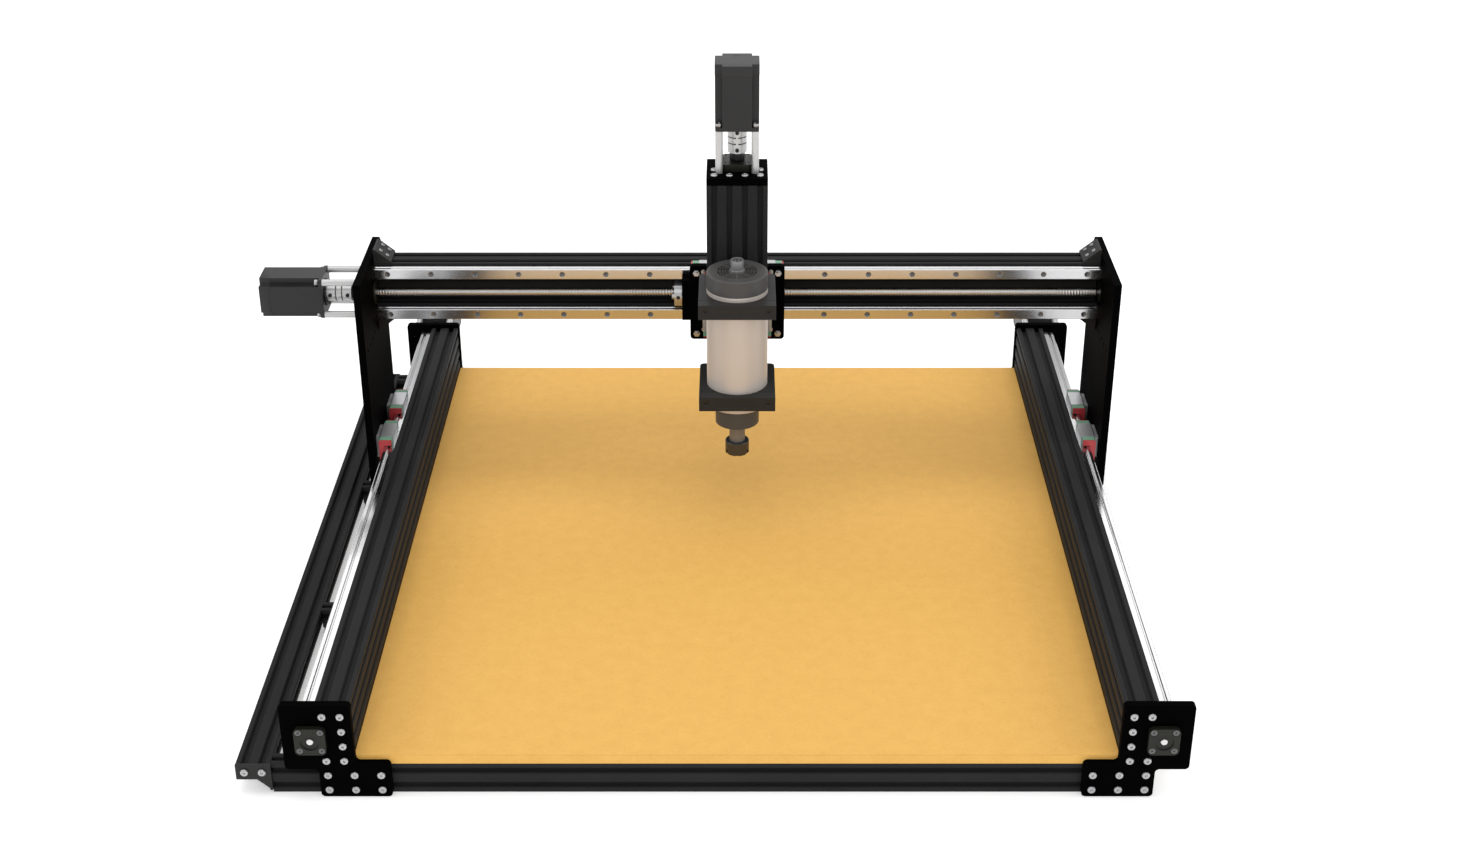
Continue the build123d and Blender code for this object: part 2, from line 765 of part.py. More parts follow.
with BuildPart() as y_rails:
    for side in (-1, 1):
        with BuildSketch(y_beam_plane(side, y_half, beam_outer, y_rail_z)):
            add(rail_section())
        extrude(amount=y_length)
        rail_top = (side * (beam_outer + rail_height), 0, y_rail_z)
        with Locations(Plane(origin=rail_top, x_dir=(0, 1, 0), z_dir=(side, 0, 0))):
            with Locations(*[(offset, 0) for offset in rail_hole_offsets(y_length)]):
                CounterBoreHole(
                    rail_hole_radius, rail_counterbore_radius, rail_counterbore_depth, depth=rail_height
                )
y_rails.part.label = "y_rails"
export_step(y_rails.part, "parts/y_rails.step")


def place_all(plane_list, piece):
    """Add a copy of a piece on each plane."""
    with Locations(*plane_list):
        add(piece)


def end_planes(places, distance, end):
    """Planes on a face across Y, at (x, z) places, facing out of the frame's front (-1) or back (1)."""
    return [Plane(origin=(x, end * distance, z), x_dir=(1, 0, 0), z_dir=(0, end, 0)) for x, z in places]


def both_sides(places):
    """The places and their mirror images in X."""
    return places + [(-x, z) for x, z in places]


with BuildPart() as frame_screws:
    for end in (-1, 1):
        place_all(end_planes(both_sides(beam_end_holes), y_half + frame_plate_thickness, end), plate_screw)
        place_all(end_planes(both_sides(foot_holes), y_half + frame_plate_thickness, end), slot_screw)
        place_all(end_planes(bracket_holes, y_half + bracket_thickness, end), plate_screw)
        add_tee_nut(*end_planes(both_sides(foot_holes), y_half, end))
    for side in (-1, 1):
        rail_seat = side * (beam_outer + rail_height - rail_counterbore_depth)
        place_all(
            [
                Plane(origin=(rail_seat, offset, y_rail_z), x_dir=(0, 1, 0), z_dir=(side, 0, 0))
                for offset in rail_hole_offsets(y_length)
            ],
            rail_screw,
        )
    for side in ("left", "right"):
        add_motor_screws(y_drive_planes[side])
        add_bearing_screws(y_drive_planes[side], fixed_flange_length, fixed_screw_circle)
        add_bearing_screws(y_far_planes[side], floating_flange_length, floating_screw_circle)
frame_screws.part.label = "frame_screws"
export_step(frame_screws.part, "parts/frame_screws.step")

with BuildPart() as y_screw_bearings:
    for side in ("left", "right"):
        add_fixed_bearing(y_drive_planes[side], frame_plate_thickness)
        add_floating_bearing(y_far_planes[side], frame_plate_thickness)
y_screw_bearings.part.label = "y_screw_bearings"
export_step(y_screw_bearings.part, "parts/y_screw_bearings.step")

with BuildPart() as y_motors:
    for side in ("left", "right"):
        add_motor(y_drive_planes[side])
y_motors.part.label = "y_motors"
export_step(y_motors.part, "parts/y_motors.step")

with BuildPart() as y_motor_standoffs:
    for side in ("left", "right"):
        add_standoffs(y_drive_planes[side])
y_motor_standoffs.part.label = "y_motor_standoffs"
export_step(y_motor_standoffs.part, "parts/y_motor_standoffs.step")

# ================================================================ Y screws and their drives
y_thread_length = y_length - 2 * screw_end_gap
for side in ("left", "right"):
    with BuildPart() as y_screw:
        add_screw(y_drive_planes[side], frame_plate_thickness, y_thread_length)
        add_lock_nut(y_drive_planes[side])
    y_screw.part.label = f"y_screw_{side}"
    export_step(y_screw.part, f"parts/y_screw_{side}.step")

    with BuildPart() as y_drive:
        add_drive(y_drive_planes[side])
    y_drive.part.label = f"y_drive_{side}"
    export_step(y_drive.part, f"parts/y_drive_{side}.step")

# ================================================================ gantry
x_end_holes = [(x_beam_back - y, x_axis_z + x) for x, y in channel_holes]
y_block_ys = [y_block_front + block_length / 2 + y_block_pitch * i for i in (0, 1)]
block_hole_spread = 26.0
side_hole_radius = 2.5
side_hole_pitch = 20.0
side_hole_front = 132.0
plate_y_middle = (gantry_plate_front + gantry_plate_back) / 2
gantry_plate_top = x_axis_z + c_width / 2 + gantry_plate_rise
plate_z_middle = (gantry_plate_bottom + gantry_plate_top) / 2
block_holes = [
    (y + offset_y, y_rail_z + offset_z)
    for y in y_block_ys
    for offset_y in (-block_hole_spread / 2, block_hole_spread / 2)
    for offset_z in (-block_hole_spread / 2, block_hole_spread / 2)
]

for name, side in (("left", -1), ("right", 1)):
    with BuildPart() as gantry_plate:
        with BuildSketch(Plane.YZ.offset(plate_inner if side > 0 else -plate_outer)) as outline:
            with Locations((plate_y_middle, plate_z_middle)):
                Rectangle(gantry_plate_back - gantry_plate_front, gantry_plate_top - gantry_plate_bottom)
            chamfer(outline.vertices().sort_by(Axis.Z)[-2:], gantry_plate_chamfer)
            with Locations(*[(side_hole_front + side_hole_pitch * i, gantry_screw_z) for i in range(5)]):
                Circle(side_hole_radius, mode=Mode.SUBTRACT)
            with Locations(*x_end_holes, *block_holes):
                Circle(plate_hole_radius, mode=Mode.SUBTRACT)
        extrude(amount=gantry_plate_thickness)
        if side < 0:
            cut_bearing_seat(x_drive_plane, gantry_plate_thickness, fixed_body_radius, fixed_screw_circle)
            cut_standoff_holes(x_drive_plane, gantry_plate_thickness)
        else:
            cut_bearing_seat(x_far_plane, gantry_plate_thickness, floating_body_radius, floating_screw_circle)
    gantry_plate.part.label = f"gantry_plate_{name}"
    export_step(gantry_plate.part, f"parts/gantry_plate_{name}.step")

with BuildPart() as x_beam:
    with BuildSketch(x_beam_plane(plate_inner, x_beam_back, x_axis_z)):
        add(channel_section())
    extrude(amount=2 * plate_inner)
x_beam.part.label = "x_beam"
export_step(x_beam.part, "parts/x_beam.step")

with BuildPart() as x_rails:
    for z in x_rail_zs:
        with BuildSketch(x_beam_plane(plate_inner, x_beam_front, z)):
            add(rail_section())
        extrude(amount=2 * plate_inner)
        with Locations(Plane(origin=(0, x_beam_front - rail_height, z), x_dir=(1, 0, 0), z_dir=(0, -1, 0))):
            with Locations(*[(offset, 0) for offset in rail_hole_offsets(2 * plate_inner)]):
                CounterBoreHole(
                    rail_hole_radius, rail_counterbore_radius, rail_counterbore_depth, depth=rail_height
                )
x_rails.part.label = "x_rails"
export_step(x_rails.part, "parts/x_rails.step")

wedge_length = 24.0
wedge_height = 20.0
wedge_toe = 2.5

with BuildPart() as gantry_brackets:
    with BuildSketch(Plane.XZ.offset(-x_beam_front)):
        with BuildLine():
            base = x_axis_z + c_width / 2
            Polyline(
                (plate_inner, base),
                (plate_inner, base + wedge_height),
                (plate_inner - wedge_toe, base + wedge_height),
                (plate_inner - wedge_length, base + wedge_toe),
                (plate_inner - wedge_length, base),
                close=True,
            )
        make_face()
    extrude(amount=-c_depth)
    mirror(about=Plane.YZ)
    mirror(about=Plane.XY.offset(x_axis_z))
gantry_brackets.part.label = "gantry_brackets"
export_step(gantry_brackets.part, "parts/gantry_brackets.step")

gantry_screw = make_button_screw(gantry_plate_thickness + screw_reach)
block_screw = make_button_screw(gantry_plate_thickness + block_screw_bite)


def side_planes(places, side):
    """Planes on a gantry plate's outer face at (y, z) places, facing away from the bed."""
    return [Plane(origin=(side * plate_outer, y, z), x_dir=(0, 1, 0), z_dir=(side, 0, 0)) for y, z in places]


with BuildPart() as gantry_screws:
    for side in (-1, 1):
        place_all(side_planes(x_end_holes, side), gantry_screw)
        place_all(side_planes(block_holes, side), block_screw)
    rail_seat = x_beam_front - rail_height + rail_counterbore_depth
    place_all(
        [
            Plane(origin=(offset, rail_seat, z), x_dir=(1, 0, 0), z_dir=(0, -1, 0))
            for offset in rail_hole_offsets(2 * plate_inner)
            for z in x_rail_zs
        ],
        rail_screw,
    )
    add_motor_screws(x_drive_plane)
    add_bearing_screws(x_drive_plane, fixed_flange_length, fixed_screw_circle)
    add_bearing_screws(x_far_plane, floating_flange_length, floating_screw_circle)
gantry_screws.part.label = "gantry_screws"
export_step(gantry_screws.part, "parts/gantry_screws.step")

y_block_planes = [
    Plane(origin=(side * beam_outer, y, y_rail_z), x_dir=(0, 0, 1), z_dir=(0, side, 0))
    for side in (-1, 1)
    for y in y_block_ys
]


def cut_block_holes(plane):
    """Four blind tapped holes in a block's mounting face."""
    top = Plane(origin=plane.from_local_coords((0, block_height, 0)), x_dir=plane.z_dir, z_dir=plane.y_dir)
    with Locations(top):
        with GridLocations(block_hole_spread, block_hole_spread, 2, 2):
            Hole(screw_shank_radius, depth=block_hole_depth)


with BuildPart() as y_blocks:
    for plane in y_block_planes:
        add_block(plane, block_steel_length)
    for plane in y_block_planes:
        cut_block_holes(plane)
y_blocks.part.label = "y_blocks"
export_step(y_blocks.part, "parts/y_blocks.step")

with BuildPart() as y_block_caps:
    for plane in y_block_planes:
        add_block_ends(plane, block_steel_length, 0, block_cap_length, block_cap_inset)
y_block_caps.part.label = "y_block_caps"
export_step(y_block_caps.part, "parts/y_block_caps.step")

with BuildPart() as y_block_seals:
    for plane in y_block_planes:
        add_block_ends(plane, block_steel_length, block_cap_length, block_seal_length, block_seal_inset)
y_block_seals.part.label = "y_block_seals"
export_step(y_block_seals.part, "parts/y_block_seals.step")


def add_ball_nut(plane):
    """Ball nut with its flange on the plane and its body behind it; the flange has two flats."""
    with BuildSketch(plane) as outline:
        Circle(nut_flange_radius)
        Rectangle(nut_flange_flats, 2 * nut_flange_radius, mode=Mode.INTERSECT)
        with PolarLocations(nut_screw_circle / 2, 2, start_angle=90):
            Circle(nut_screw_radius, mode=Mode.SUBTRACT)
    extrude(outline.sketch, amount=nut_flange_length)
    with BuildSketch(plane) as outline:
        Circle(nut_body_radius)
    extrude(outline.sketch, amount=-nut_body_length)
    with BuildSketch(plane.offset(-nut_body_length)) as outline:
        Circle(screw_radius + slide_gap)
    extrude(outline.sketch, amount=nut_body_length + nut_flange_length, mode=Mode.SUBTRACT)


# The Y nuts sit between the two blocks of each side, flange to the front.
nut_mount_length = 22.5
nut_mount_half_height = 12.9
nut_mount_reach = 13.5
y_nut_face = y_block_front + block_length + 0.8 + nut_flange_length
y_nut_planes = {
    side: Plane(origin=(sign * y_screw_x, y_nut_face, y_axis_z), x_dir=(0, 0, 1), z_dir=(0, -1, 0))
    for side, sign in (("left", -1), ("right", 1))
}

with BuildPart() as y_ball_nuts:
    for side in ("left", "right"):
        add_ball_nut(y_nut_planes[side])
y_ball_nuts.part.label = "y_ball_nuts"
export_step(y_ball_nuts.part, "parts/y_ball_nuts.step")

with BuildPart() as y_nut_mounts:
    with BuildSketch(Plane.XZ.offset(-y_nut_face)):
        width = plate_inner - y_screw_x + nut_mount_reach
        with Locations((plate_inner - width / 2, y_axis_z)):
            Rectangle(width, 2 * (nut_mount_half_height + 5))
        with Locations((y_screw_x, y_axis_z)):
            Circle(nut_body_radius, mode=Mode.SUBTRACT)
    extrude(amount=-nut_mount_length)
    mirror(about=Plane.YZ)
y_nut_mounts.part.label = "y_nut_mounts"
export_step(y_nut_mounts.part, "parts/y_nut_mounts.step")

with BuildPart() as x_motor:
    add_motor(x_drive_plane)
x_motor.part.label = "x_motor"
export_step(x_motor.part, "parts/x_motor.step")

with BuildPart() as x_motor_standoffs:
    add_standoffs(x_drive_plane)
x_motor_standoffs.part.label = "x_motor_standoffs"
export_step(x_motor_standoffs.part, "parts/x_motor_standoffs.step")

with BuildPart() as x_screw_bearings:
    add_fixed_bearing(x_drive_plane, gantry_plate_thickness)
    add_floating_bearing(x_far_plane, gantry_plate_thickness)
x_screw_bearings.part.label = "x_screw_bearings"
export_step(x_screw_bearings.part, "parts/x_screw_bearings.step")

# ================================================================ X screw and its drive
with BuildPart() as x_screw:
    add_screw(x_drive_plane, gantry_plate_thickness, 2 * plate_inner - 2 * screw_end_gap)
    add_lock_nut(x_drive_plane)
x_screw.part.label = "x_screw"
export_step(x_screw.part, "parts/x_screw.step")

with BuildPart() as x_drive:
    add_drive(x_drive_plane)
x_drive.part.label = "x_drive"
export_step(x_drive.part, "parts/x_drive.step")

# ================================================================ X carriage
x_block_planes = [
    Plane(origin=(x, x_beam_front, z), x_dir=(0, 0, 1), z_dir=(1, 0, 0))
    for x in (-x_block_pitch / 2, x_block_pitch / 2)
    for z in x_rail_zs
]
z_block_zs = [z_block_bottom + z_block_length / 2 + z_block_pitch * i for i in (0, 1)]
z_block_planes = [
    Plane(origin=(x, z_beam_back, z), x_dir=(1, 0, 0), z_dir=(0, 0, 1)) for x in z_rail_xs for z in z_block_zs
]
carriage_bolt_x = 55.6
carriage_bolt_z = 45.0
carriage_bolts_at = [
    (x, carriage_z + z)
    for x in (-carriage_bolt_x, carriage_bolt_x)
    for z in (-carriage_bolt_z, carriage_bolt_z)
]
carriage_bolt_radius = 2.5

# Block screws sit in counterbores: those of the X blocks in the front face, of the Z blocks in the back.
block_screw_seat = 5.0
z_block_hole_spread = 13.0
x_block_holes = [
    (x + dx, z + dz)
    for x in (-x_block_pitch / 2, x_block_pitch / 2)
    for z in x_rail_zs
    for dx in (-block_hole_spread / 2, block_hole_spread / 2)
    for dz in (-block_hole_spread / 2, block_hole_spread / 2)
]
z_block_holes = [
    (x, z + dz)
    for x in z_rail_xs
    for z in z_block_zs
    for dz in (-z_block_hole_spread / 2, z_block_hole_spread / 2)
]
x_block_screw_planes = [
    Plane(origin=(x, carriage_front + block_screw_seat, z), x_dir=(1, 0, 0), z_dir=(0, -1, 0))
    for x, z in x_block_holes
]
z_block_screw_planes = [
    Plane(origin=(x, carriage_back - block_screw_seat, z), x_dir=(1, 0, 0), z_dir=(0, 1, 0))
    for x, z in z_block_holes
]
block_screw_grip = slide_plate_thickness - block_screw_seat
block_mount_screw = make_cap_screw(
    block_head_radius, block_head_height, screw_shank_radius, block_screw_grip + block_screw_bite
)

with BuildPart() as carriage_plate:
    with BuildSketch(Plane.XZ.offset(-carriage_back)) as outline:
        with Locations((0, carriage_z)):
            RectangleRounded(carriage_plate_width, carriage_plate_height, carriage_plate_corner)
        with Locations(*carriage_bolts_at):
            Circle(carriage_bolt_radius, mode=Mode.SUBTRACT)
    extrude(amount=slide_plate_thickness)
    for planes in (x_block_screw_planes, z_block_screw_planes):
        with Locations(*[plane.offset(block_screw_grip) for plane in planes]):
            CounterBoreHole(
                screw_shank_radius,
                block_head_radius + head_gap,
                block_screw_grip,
                depth=slide_plate_thickness,
            )
carriage_plate.part.label = "carriage_plate"
export_step(carriage_plate.part, "parts/carriage_plate.step")

bolt_reach = 7.0
bolt_head_height = 3.0
bolt_head_radius = 3.3
nut_across = 8.0
nut_height = 4.0
carriage_bolt_planes = [
    Plane(origin=(x, carriage_front, z), x_dir=(1, 0, 0), z_dir=(0, -1, 0)) for x, z in carriage_bolts_at
]

with BuildPart() as carriage_bolts:
    with BuildSketch(*[plane.offset(-slide_plate_thickness) for plane in carriage_bolt_planes]):
        Circle(bolt_head_radius)
    extrude(amount=-bolt_head_height)
    with BuildSketch(*[plane.offset(-slide_plate_thickness) for plane in carriage_bolt_planes]):
        Circle(carriage_bolt_radius)
    extrude(amount=slide_plate_thickness + bolt_reach)
    with BuildSketch(*carriage_bolt_planes):
        RegularPolygon(nut_across / 2, 6, major_radius=False)
        Circle(carriage_bolt_radius + fit_gap, mode=Mode.SUBTRACT)
    extrude(amount=nut_height)
    place_all(x_block_screw_planes, block_mount_screw)
    place_all(z_block_screw_planes, block_mount_screw)
carriage_bolts.part.label = "carriage_bolts"
export_step(carriage_bolts.part, "parts/carriage_bolts.step")

with BuildPart() as carriage_blocks:
    for plane in x_block_planes:
        add_block(plane, block_steel_length)
    for plane in z_block_planes:
        add_block(plane, z_block_steel_length)
    for planes in (x_block_screw_planes, z_block_screw_planes):
        with Locations(*[plane.offset(-block_screw_seat) for plane in planes]):
            Hole(screw_shank_radius, depth=block_hole_depth)
carriage_blocks.part.label = "carriage_blocks"
export_step(carriage_blocks.part, "parts/carriage_blocks.step")

with BuildPart() as carriage_block_caps:
    for plane in x_block_planes:
        add_block_ends(plane, block_steel_length, 0, block_cap_length, block_cap_inset)
    for plane in z_block_planes:
        add_block_ends(plane, z_block_steel_length, 0, z_block_cap_length, block_cap_inset)
carriage_block_caps.part.label = "carriage_block_caps"
export_step(carriage_block_caps.part, "parts/carriage_block_caps.step")

with BuildPart() as carriage_block_seals:
    for plane in x_block_planes:
        add_block_ends(plane, block_steel_length, block_cap_length, block_seal_length, block_seal_inset)
    for plane in z_block_planes:
        add_block_ends(plane, z_block_steel_length, z_block_cap_length, block_seal_length, block_seal_inset)
carriage_block_seals.part.label = "carriage_block_seals"
export_step(carriage_block_seals.part, "parts/carriage_block_seals.step")

# A nut plate stands on an edge of the carriage plate and reaches through between the rails.
nut_plate_half = 29.5
nut_plate_front = 6.8  # of its wide part past the carriage plate's far face
nut_plate_side_gap = 0.9  # to the rails and to the beam's inner walls
nut_plate_step_gap = 0.6  # between each step and the rail or beam in front of it
nut_plate_mid_half = (x_rail_spread - rail_width) / 2 - nut_plate_side_gap
nut_plate_nose_half = module - nut_plate_side_gap
nut_plate_tip = 17.0  # past the screw's axis
x_nut_plate_face = -carriage_plate_width / 2 - nut_plate_thickness
x_nut_plane = Plane(origin=(x_nut_plate_face, x_screw_y, x_axis_z), x_dir=(0, 0, 1), z_dir=(-1, 0, 0))
z_nut_plate_face = carriage_z + carriage_plate_height / 2 + nut_plate_thickness
z_nut_plane = Plane(origin=(0, z_screw_y, z_nut_plate_face), x_dir=(1, 0, 0), z_dir=(0, 0, 1))


def add_nut_plate(plane, outer_face, rail_top, beam_face):
    """Nut plate seen along its screw; distances are from the screw, positive towards the beam."""
    with BuildSketch(plane) as outline:
        for start, end, half in (
            (outer_face, rail_top, nut_plate_half),
            (rail_top, beam_face, nut_plate_mid_half),
            (beam_face, nut_plate_tip, nut_plate_nose_half),
        ):
            with Locations(((start + end) / 2, 0)):
                Rectangle(end - start, 2 * half)
        Circle(nut_body_radius, mode=Mode.SUBTRACT)
    extrude(outline.sketch, amount=-nut_plate_thickness)


with BuildPart() as nut_plates:
    add_nut_plate(
        Plane(origin=x_nut_plane.origin, x_dir=(0, 1, 0), z_dir=(-1, 0, 0)),
        -(x_screw_y - carriage_back) - nut_plate_front,
        screw_offset - rail_height - nut_plate_step_gap,
        screw_offset - nut_plate_step_gap,
    )
    add_nut_plate(
        Plane(origin=z_nut_plane.origin, x_dir=(0, -1, 0), z_dir=(0, 0, 1)),
        -(carriage_back - z_screw_y),
        screw_offset - rail_height - nut_plate_step_gap,
        screw_offset - nut_plate_step_gap,
    )
nut_plates.part.label = "nut_plates"
export_step(nut_plates.part, "parts/nut_plates.step")

with BuildPart() as ball_nuts:
    add_ball_nut(x_nut_plane)
    add_ball_nut(z_nut_plane)
ball_nuts.part.label = "carriage_ball_nuts"
export_step(ball_nuts.part, "parts/carriage_ball_nuts.step")

# ================================================================ Z slide
with BuildPart() as z_beam:
    with BuildSketch(Plane(origin=(0, z_beam_front, z_beam_bottom))):
        add(channel_section())
    extrude(amount=z_beam_length)
z_beam.part.label = "z_beam"
export_step(z_beam.part, "parts/z_beam.step")

z_middle = z_beam_bottom + z_beam_length / 2
with BuildPart() as z_rails:
    for x in z_rail_xs:
        with BuildSketch(Plane(origin=(x, z_beam_back, z_beam_bottom))):
            add(rail_section())
        extrude(amount=z_beam_length)
        rail_top = (x, z_beam_back + rail_height, z_middle)
        with Locations(Plane(origin=rail_top, x_dir=(0, 0, 1), z_dir=(0, 1, 0))):
            with Locations(*[(offset, 0) for offset in rail_hole_offsets(z_beam_length)]):
                CounterBoreHole(
                    rail_hole_radius, rail_counterbore_radius, rail_counterbore_depth, depth=rail_height
                )
z_rails.part.label = "z_rails"
export_step(z_rails.part, "parts/z_rails.step")

end_plate_holes = [(x, z_beam_front + y) for x, y in channel_holes]
top_plate_back = z_screw_y + motor_bolt_pitch / 2 + top_plate_margin
bottom_plate_back = z_screw_y + bottom_plate_margin


def add_end_plate(plane_z, back):
    """Plate across one end of the Z beam, drilled for the beam's six end screws."""
    with BuildSketch(Plane.XY.offset(plane_z)) as outline:
        with Locations((0, (z_beam_front + back) / 2)):
            RectangleRounded(c_width, back - z_beam_front, 1.5)
        with Locations(*end_plate_holes):
            Circle(plate_hole_radius, mode=Mode.SUBTRACT)
    extrude(outline.sketch, amount=slide_plate_thickness)


with BuildPart() as z_end_plates:
    add_end_plate(z_beam_top, top_plate_back)
    add_end_plate(z_beam_bottom - slide_plate_thickness, bottom_plate_back)
    cut_bearing_seat(z_drive_plane, slide_plate_thickness, fixed_body_radius, fixed_screw_circle)
    cut_standoff_holes(z_drive_plane, slide_plate_thickness)
    cut_bearing_seat(z_far_plane, slide_plate_thickness, floating_body_radius, floating_screw_circle)
z_end_plates.part.label = "z_end_plates"
export_step(z_end_plates.part, "parts/z_end_plates.step")

with BuildPart() as z_motor:
    add_motor(z_drive_plane)
z_motor.part.label = "z_motor"
export_step(z_motor.part, "parts/z_motor.step")

with BuildPart() as z_motor_standoffs:
    add_standoffs(z_drive_plane)
z_motor_standoffs.part.label = "z_motor_standoffs"
export_step(z_motor_standoffs.part, "parts/z_motor_standoffs.step")

with BuildPart() as z_screw_bearings:
    add_fixed_bearing(z_drive_plane, slide_plate_thickness)
    add_floating_bearing(z_far_plane, slide_plate_thickness)
z_screw_bearings.part.label = "z_screw_bearings"
export_step(z_screw_bearings.part, "parts/z_screw_bearings.step")

# Clamps: a back half against the Z beam and a front half drawn to it by two screws.
clamp_front_y = spindle_y - clamp_front
clamp_split_y = spindle_y - clamp_split
clamp_screw_length = 27.0
clamp_screw_sink = cap_height + 0.2
clamp_screw = make_cap_screw(cap_radius, cap_height, screw_shank_radius, clamp_screw_length)
clamp_screw_seat = clamp_front_y + clamp_screw_sink
clamp_screw_planes = [
    Plane(origin=(x, clamp_screw_seat, bottom + clamp_height / 2), x_dir=(1, 0, 0), z_dir=(0, -1, 0))
    for x in (-clamp_screw_x, clamp_screw_x)
    for bottom in clamp_bottoms
]
clamp_mount_x = 1.5 * module
clamp_mount_seat = 8.0  # from the Z beam to the seat of the screws that hold a clamp on it
clamp_mount_places = [
    (x, bottom + clamp_height / 2) for x in (-clamp_mount_x, clamp_mount_x) for bottom in clamp_bottoms
]
clamp_mount_planes = [
    Plane(origin=(x, z_beam_front - clamp_mount_seat, z), x_dir=(1, 0, 0), z_dir=(0, -1, 0))
    for x, z in clamp_mount_places
]
clamp_mount_screw = make_cap_screw(
    cap_radius, cap_height, screw_shank_radius, clamp_mount_seat + slot_screw_reach
)


def add_clamp_half(bottom, front, back):
    """Slab of a clamp between two Y values, bored for the spindle."""
    with BuildSketch(Plane.XY.offset(bottom)) as outline:
        with Locations((0, (front + back) / 2)):
            Rectangle(clamp_width, back - front)
        with Locations((0, spindle_y)):
            Circle(spindle_radius, mode=Mode.SUBTRACT)
    extrude(outline.sketch, amount=clamp_height)


with BuildPart() as clamp_backs:
    for bottom in clamp_bottoms:
        add_clamp_half(bottom, clamp_split_y + clamp_gap / 2, z_beam_front)
    fillet(clamp_backs.edges().filter_by(Axis.Z).group_by(Axis.Y)[-1], clamp_corner)
    with Locations(*[plane.offset(clamp_front - clamp_split) for plane in clamp_screw_planes]):
        Hole(screw_shank_radius, depth=clamp_front - clamp_split + clamp_screw_length + 3)
    with Locations(*[plane.offset(spindle_reach / 2) for plane in clamp_mount_planes]):
        CounterBoreHole(plate_hole_radius, cap_radius + head_gap, spindle_reach / 2, depth=spindle_reach)
clamp_backs.part.label = "clamp_backs"
export_step(clamp_backs.part, "parts/clamp_backs.step")

with BuildPart() as clamp_fronts:
    for bottom in clamp_bottoms:
        add_clamp_half(bottom, clamp_front_y, clamp_split_y - clamp_gap / 2)
    for bottom in clamp_bottoms:
        face = Plane(origin=(0, clamp_front_y, bottom + clamp_height / 2), x_dir=(1, 0, 0), z_dir=(0, -1, 0))
        with Locations(face):
            with Locations((-clamp_screw_x, 0), (clamp_screw_x, 0)):
                CounterBoreHole(
                    plate_hole_radius, cap_radius + head_gap, clamp_screw_sink, depth=clamp_front
                )
        with BuildSketch(face):
            RectangleRounded(label_width, label_height, 1.5)
        extrude(amount=-label_depth, mode=Mode.SUBTRACT)
clamp_fronts.part.label = "clamp_fronts"
export_step(clamp_fronts.part, "parts/clamp_fronts.step")

with BuildPart() as z_screws:
    place_all(
        [Plane(origin=(x, y, z_beam_top + slide_plate_thickness)) for x, y in end_plate_holes],
        gantry_screw,
    )
    place_all(
        [
            Plane(origin=(x, y, z_beam_bottom - slide_plate_thickness), x_dir=(1, 0, 0), z_dir=(0, 0, -1))
            for x, y in end_plate_holes
        ],
        gantry_screw,
    )
    rail_seat = z_beam_back + rail_height - rail_counterbore_depth
    place_all(
        [
            Plane(origin=(x, rail_seat, z_middle + offset), x_dir=(1, 0, 0), z_dir=(0, 1, 0))
            for x in z_rail_xs
            for offset in rail_hole_offsets(z_beam_length)
        ],
        rail_screw,
    )
    place_all(clamp_screw_planes, clamp_screw)
    place_all(clamp_mount_planes, clamp_mount_screw)
    add_tee_nut(*[
        Plane(origin=(x, z_beam_front, z), x_dir=(0, 0, 1), z_dir=(0, -1, 0)) for x, z in clamp_mount_places
    ])
    add_motor_screws(z_drive_plane)
    add_bearing_screws(z_drive_plane, fixed_flange_length, fixed_screw_circle)
    add_bearing_screws(z_far_plane, floating_flange_length, floating_screw_circle)
z_screws.part.label = "z_screws"
export_step(z_screws.part, "parts/z_screws.step")

# ================================================================ Z screw and its drive
with BuildPart() as z_screw:
    add_screw(z_drive_plane, slide_plate_thickness, z_beam_length - 2 * screw_end_gap)
    add_lock_nut(z_drive_plane)
z_screw.part.label = "z_screw"
export_step(z_screw.part, "parts/z_screw.step")

with BuildPart() as z_drive:
    add_drive(z_drive_plane)
z_drive.part.label = "z_drive"
export_step(z_drive.part, "parts/z_drive.step")

# ================================================================ spindle
spindle_base = Plane(origin=(0, spindle_y, spindle_bottom))
stator_start = (spindle_length - stator_length) / 2
bore_radius = spindle_radius - spindle_wall

with BuildPart() as spindle_body:
    add_ring(spindle_base, 0, spindle_length, spindle_radius, bore_radius)
spindle_body.part.label = "spindle_body"
export_step(spindle_body.part, "parts/spindle_body.step")

with BuildPart() as spindle_stator:
    add_ring(spindle_base, stator_start, stator_length, bore_radius, rotor_radius + stator_gap)
spindle_stator.part.label = "spindle_stator"
export_step(spindle_stator.part, "parts/spindle_stator.step")

# The cap holds the upper bearing; the nose closes the lower end and holds the lower bearings.
bearing_web = 8.0
with BuildPart() as spindle_cap:
    with BuildSketch(spindle_base.offset(spindle_length)):
        Circle(spindle_radius)
    extrude(amount=cap_length)
    fillet(spindle_cap.edges().group_by(Axis.Z)[-1], 2.5)
    with BuildSketch(spindle_base.offset(spindle_length - spindle_bearing_length)):
        Circle(bore_radius)
        Circle(spindle_bearing_radius, mode=Mode.SUBTRACT)
    extrude(amount=spindle_bearing_length)
    with BuildSketch(spindle_base.offset(spindle_length + bearing_web)):
        Circle(grille_radius)
        Circle(connector_base_radius + 1, mode=Mode.SUBTRACT)
    extrude(amount=cap_length - bearing_web - grille_skin, mode=Mode.SUBTRACT)
    with BuildSketch(spindle_base.offset(spindle_length + cap_length)):
        for radius in grille_rings:
            Circle(radius + grille_slot / 2)
            Circle(radius - grille_slot / 2, mode=Mode.SUBTRACT)
        with PolarLocations(0, grille_ribs // 2, angular_range=180):
            Rectangle(2 * grille_radius, grille_rib_width, mode=Mode.SUBTRACT)
    extrude(amount=-grille_skin - 0.5, mode=Mode.SUBTRACT)
spindle_cap.part.label = "spindle_cap"
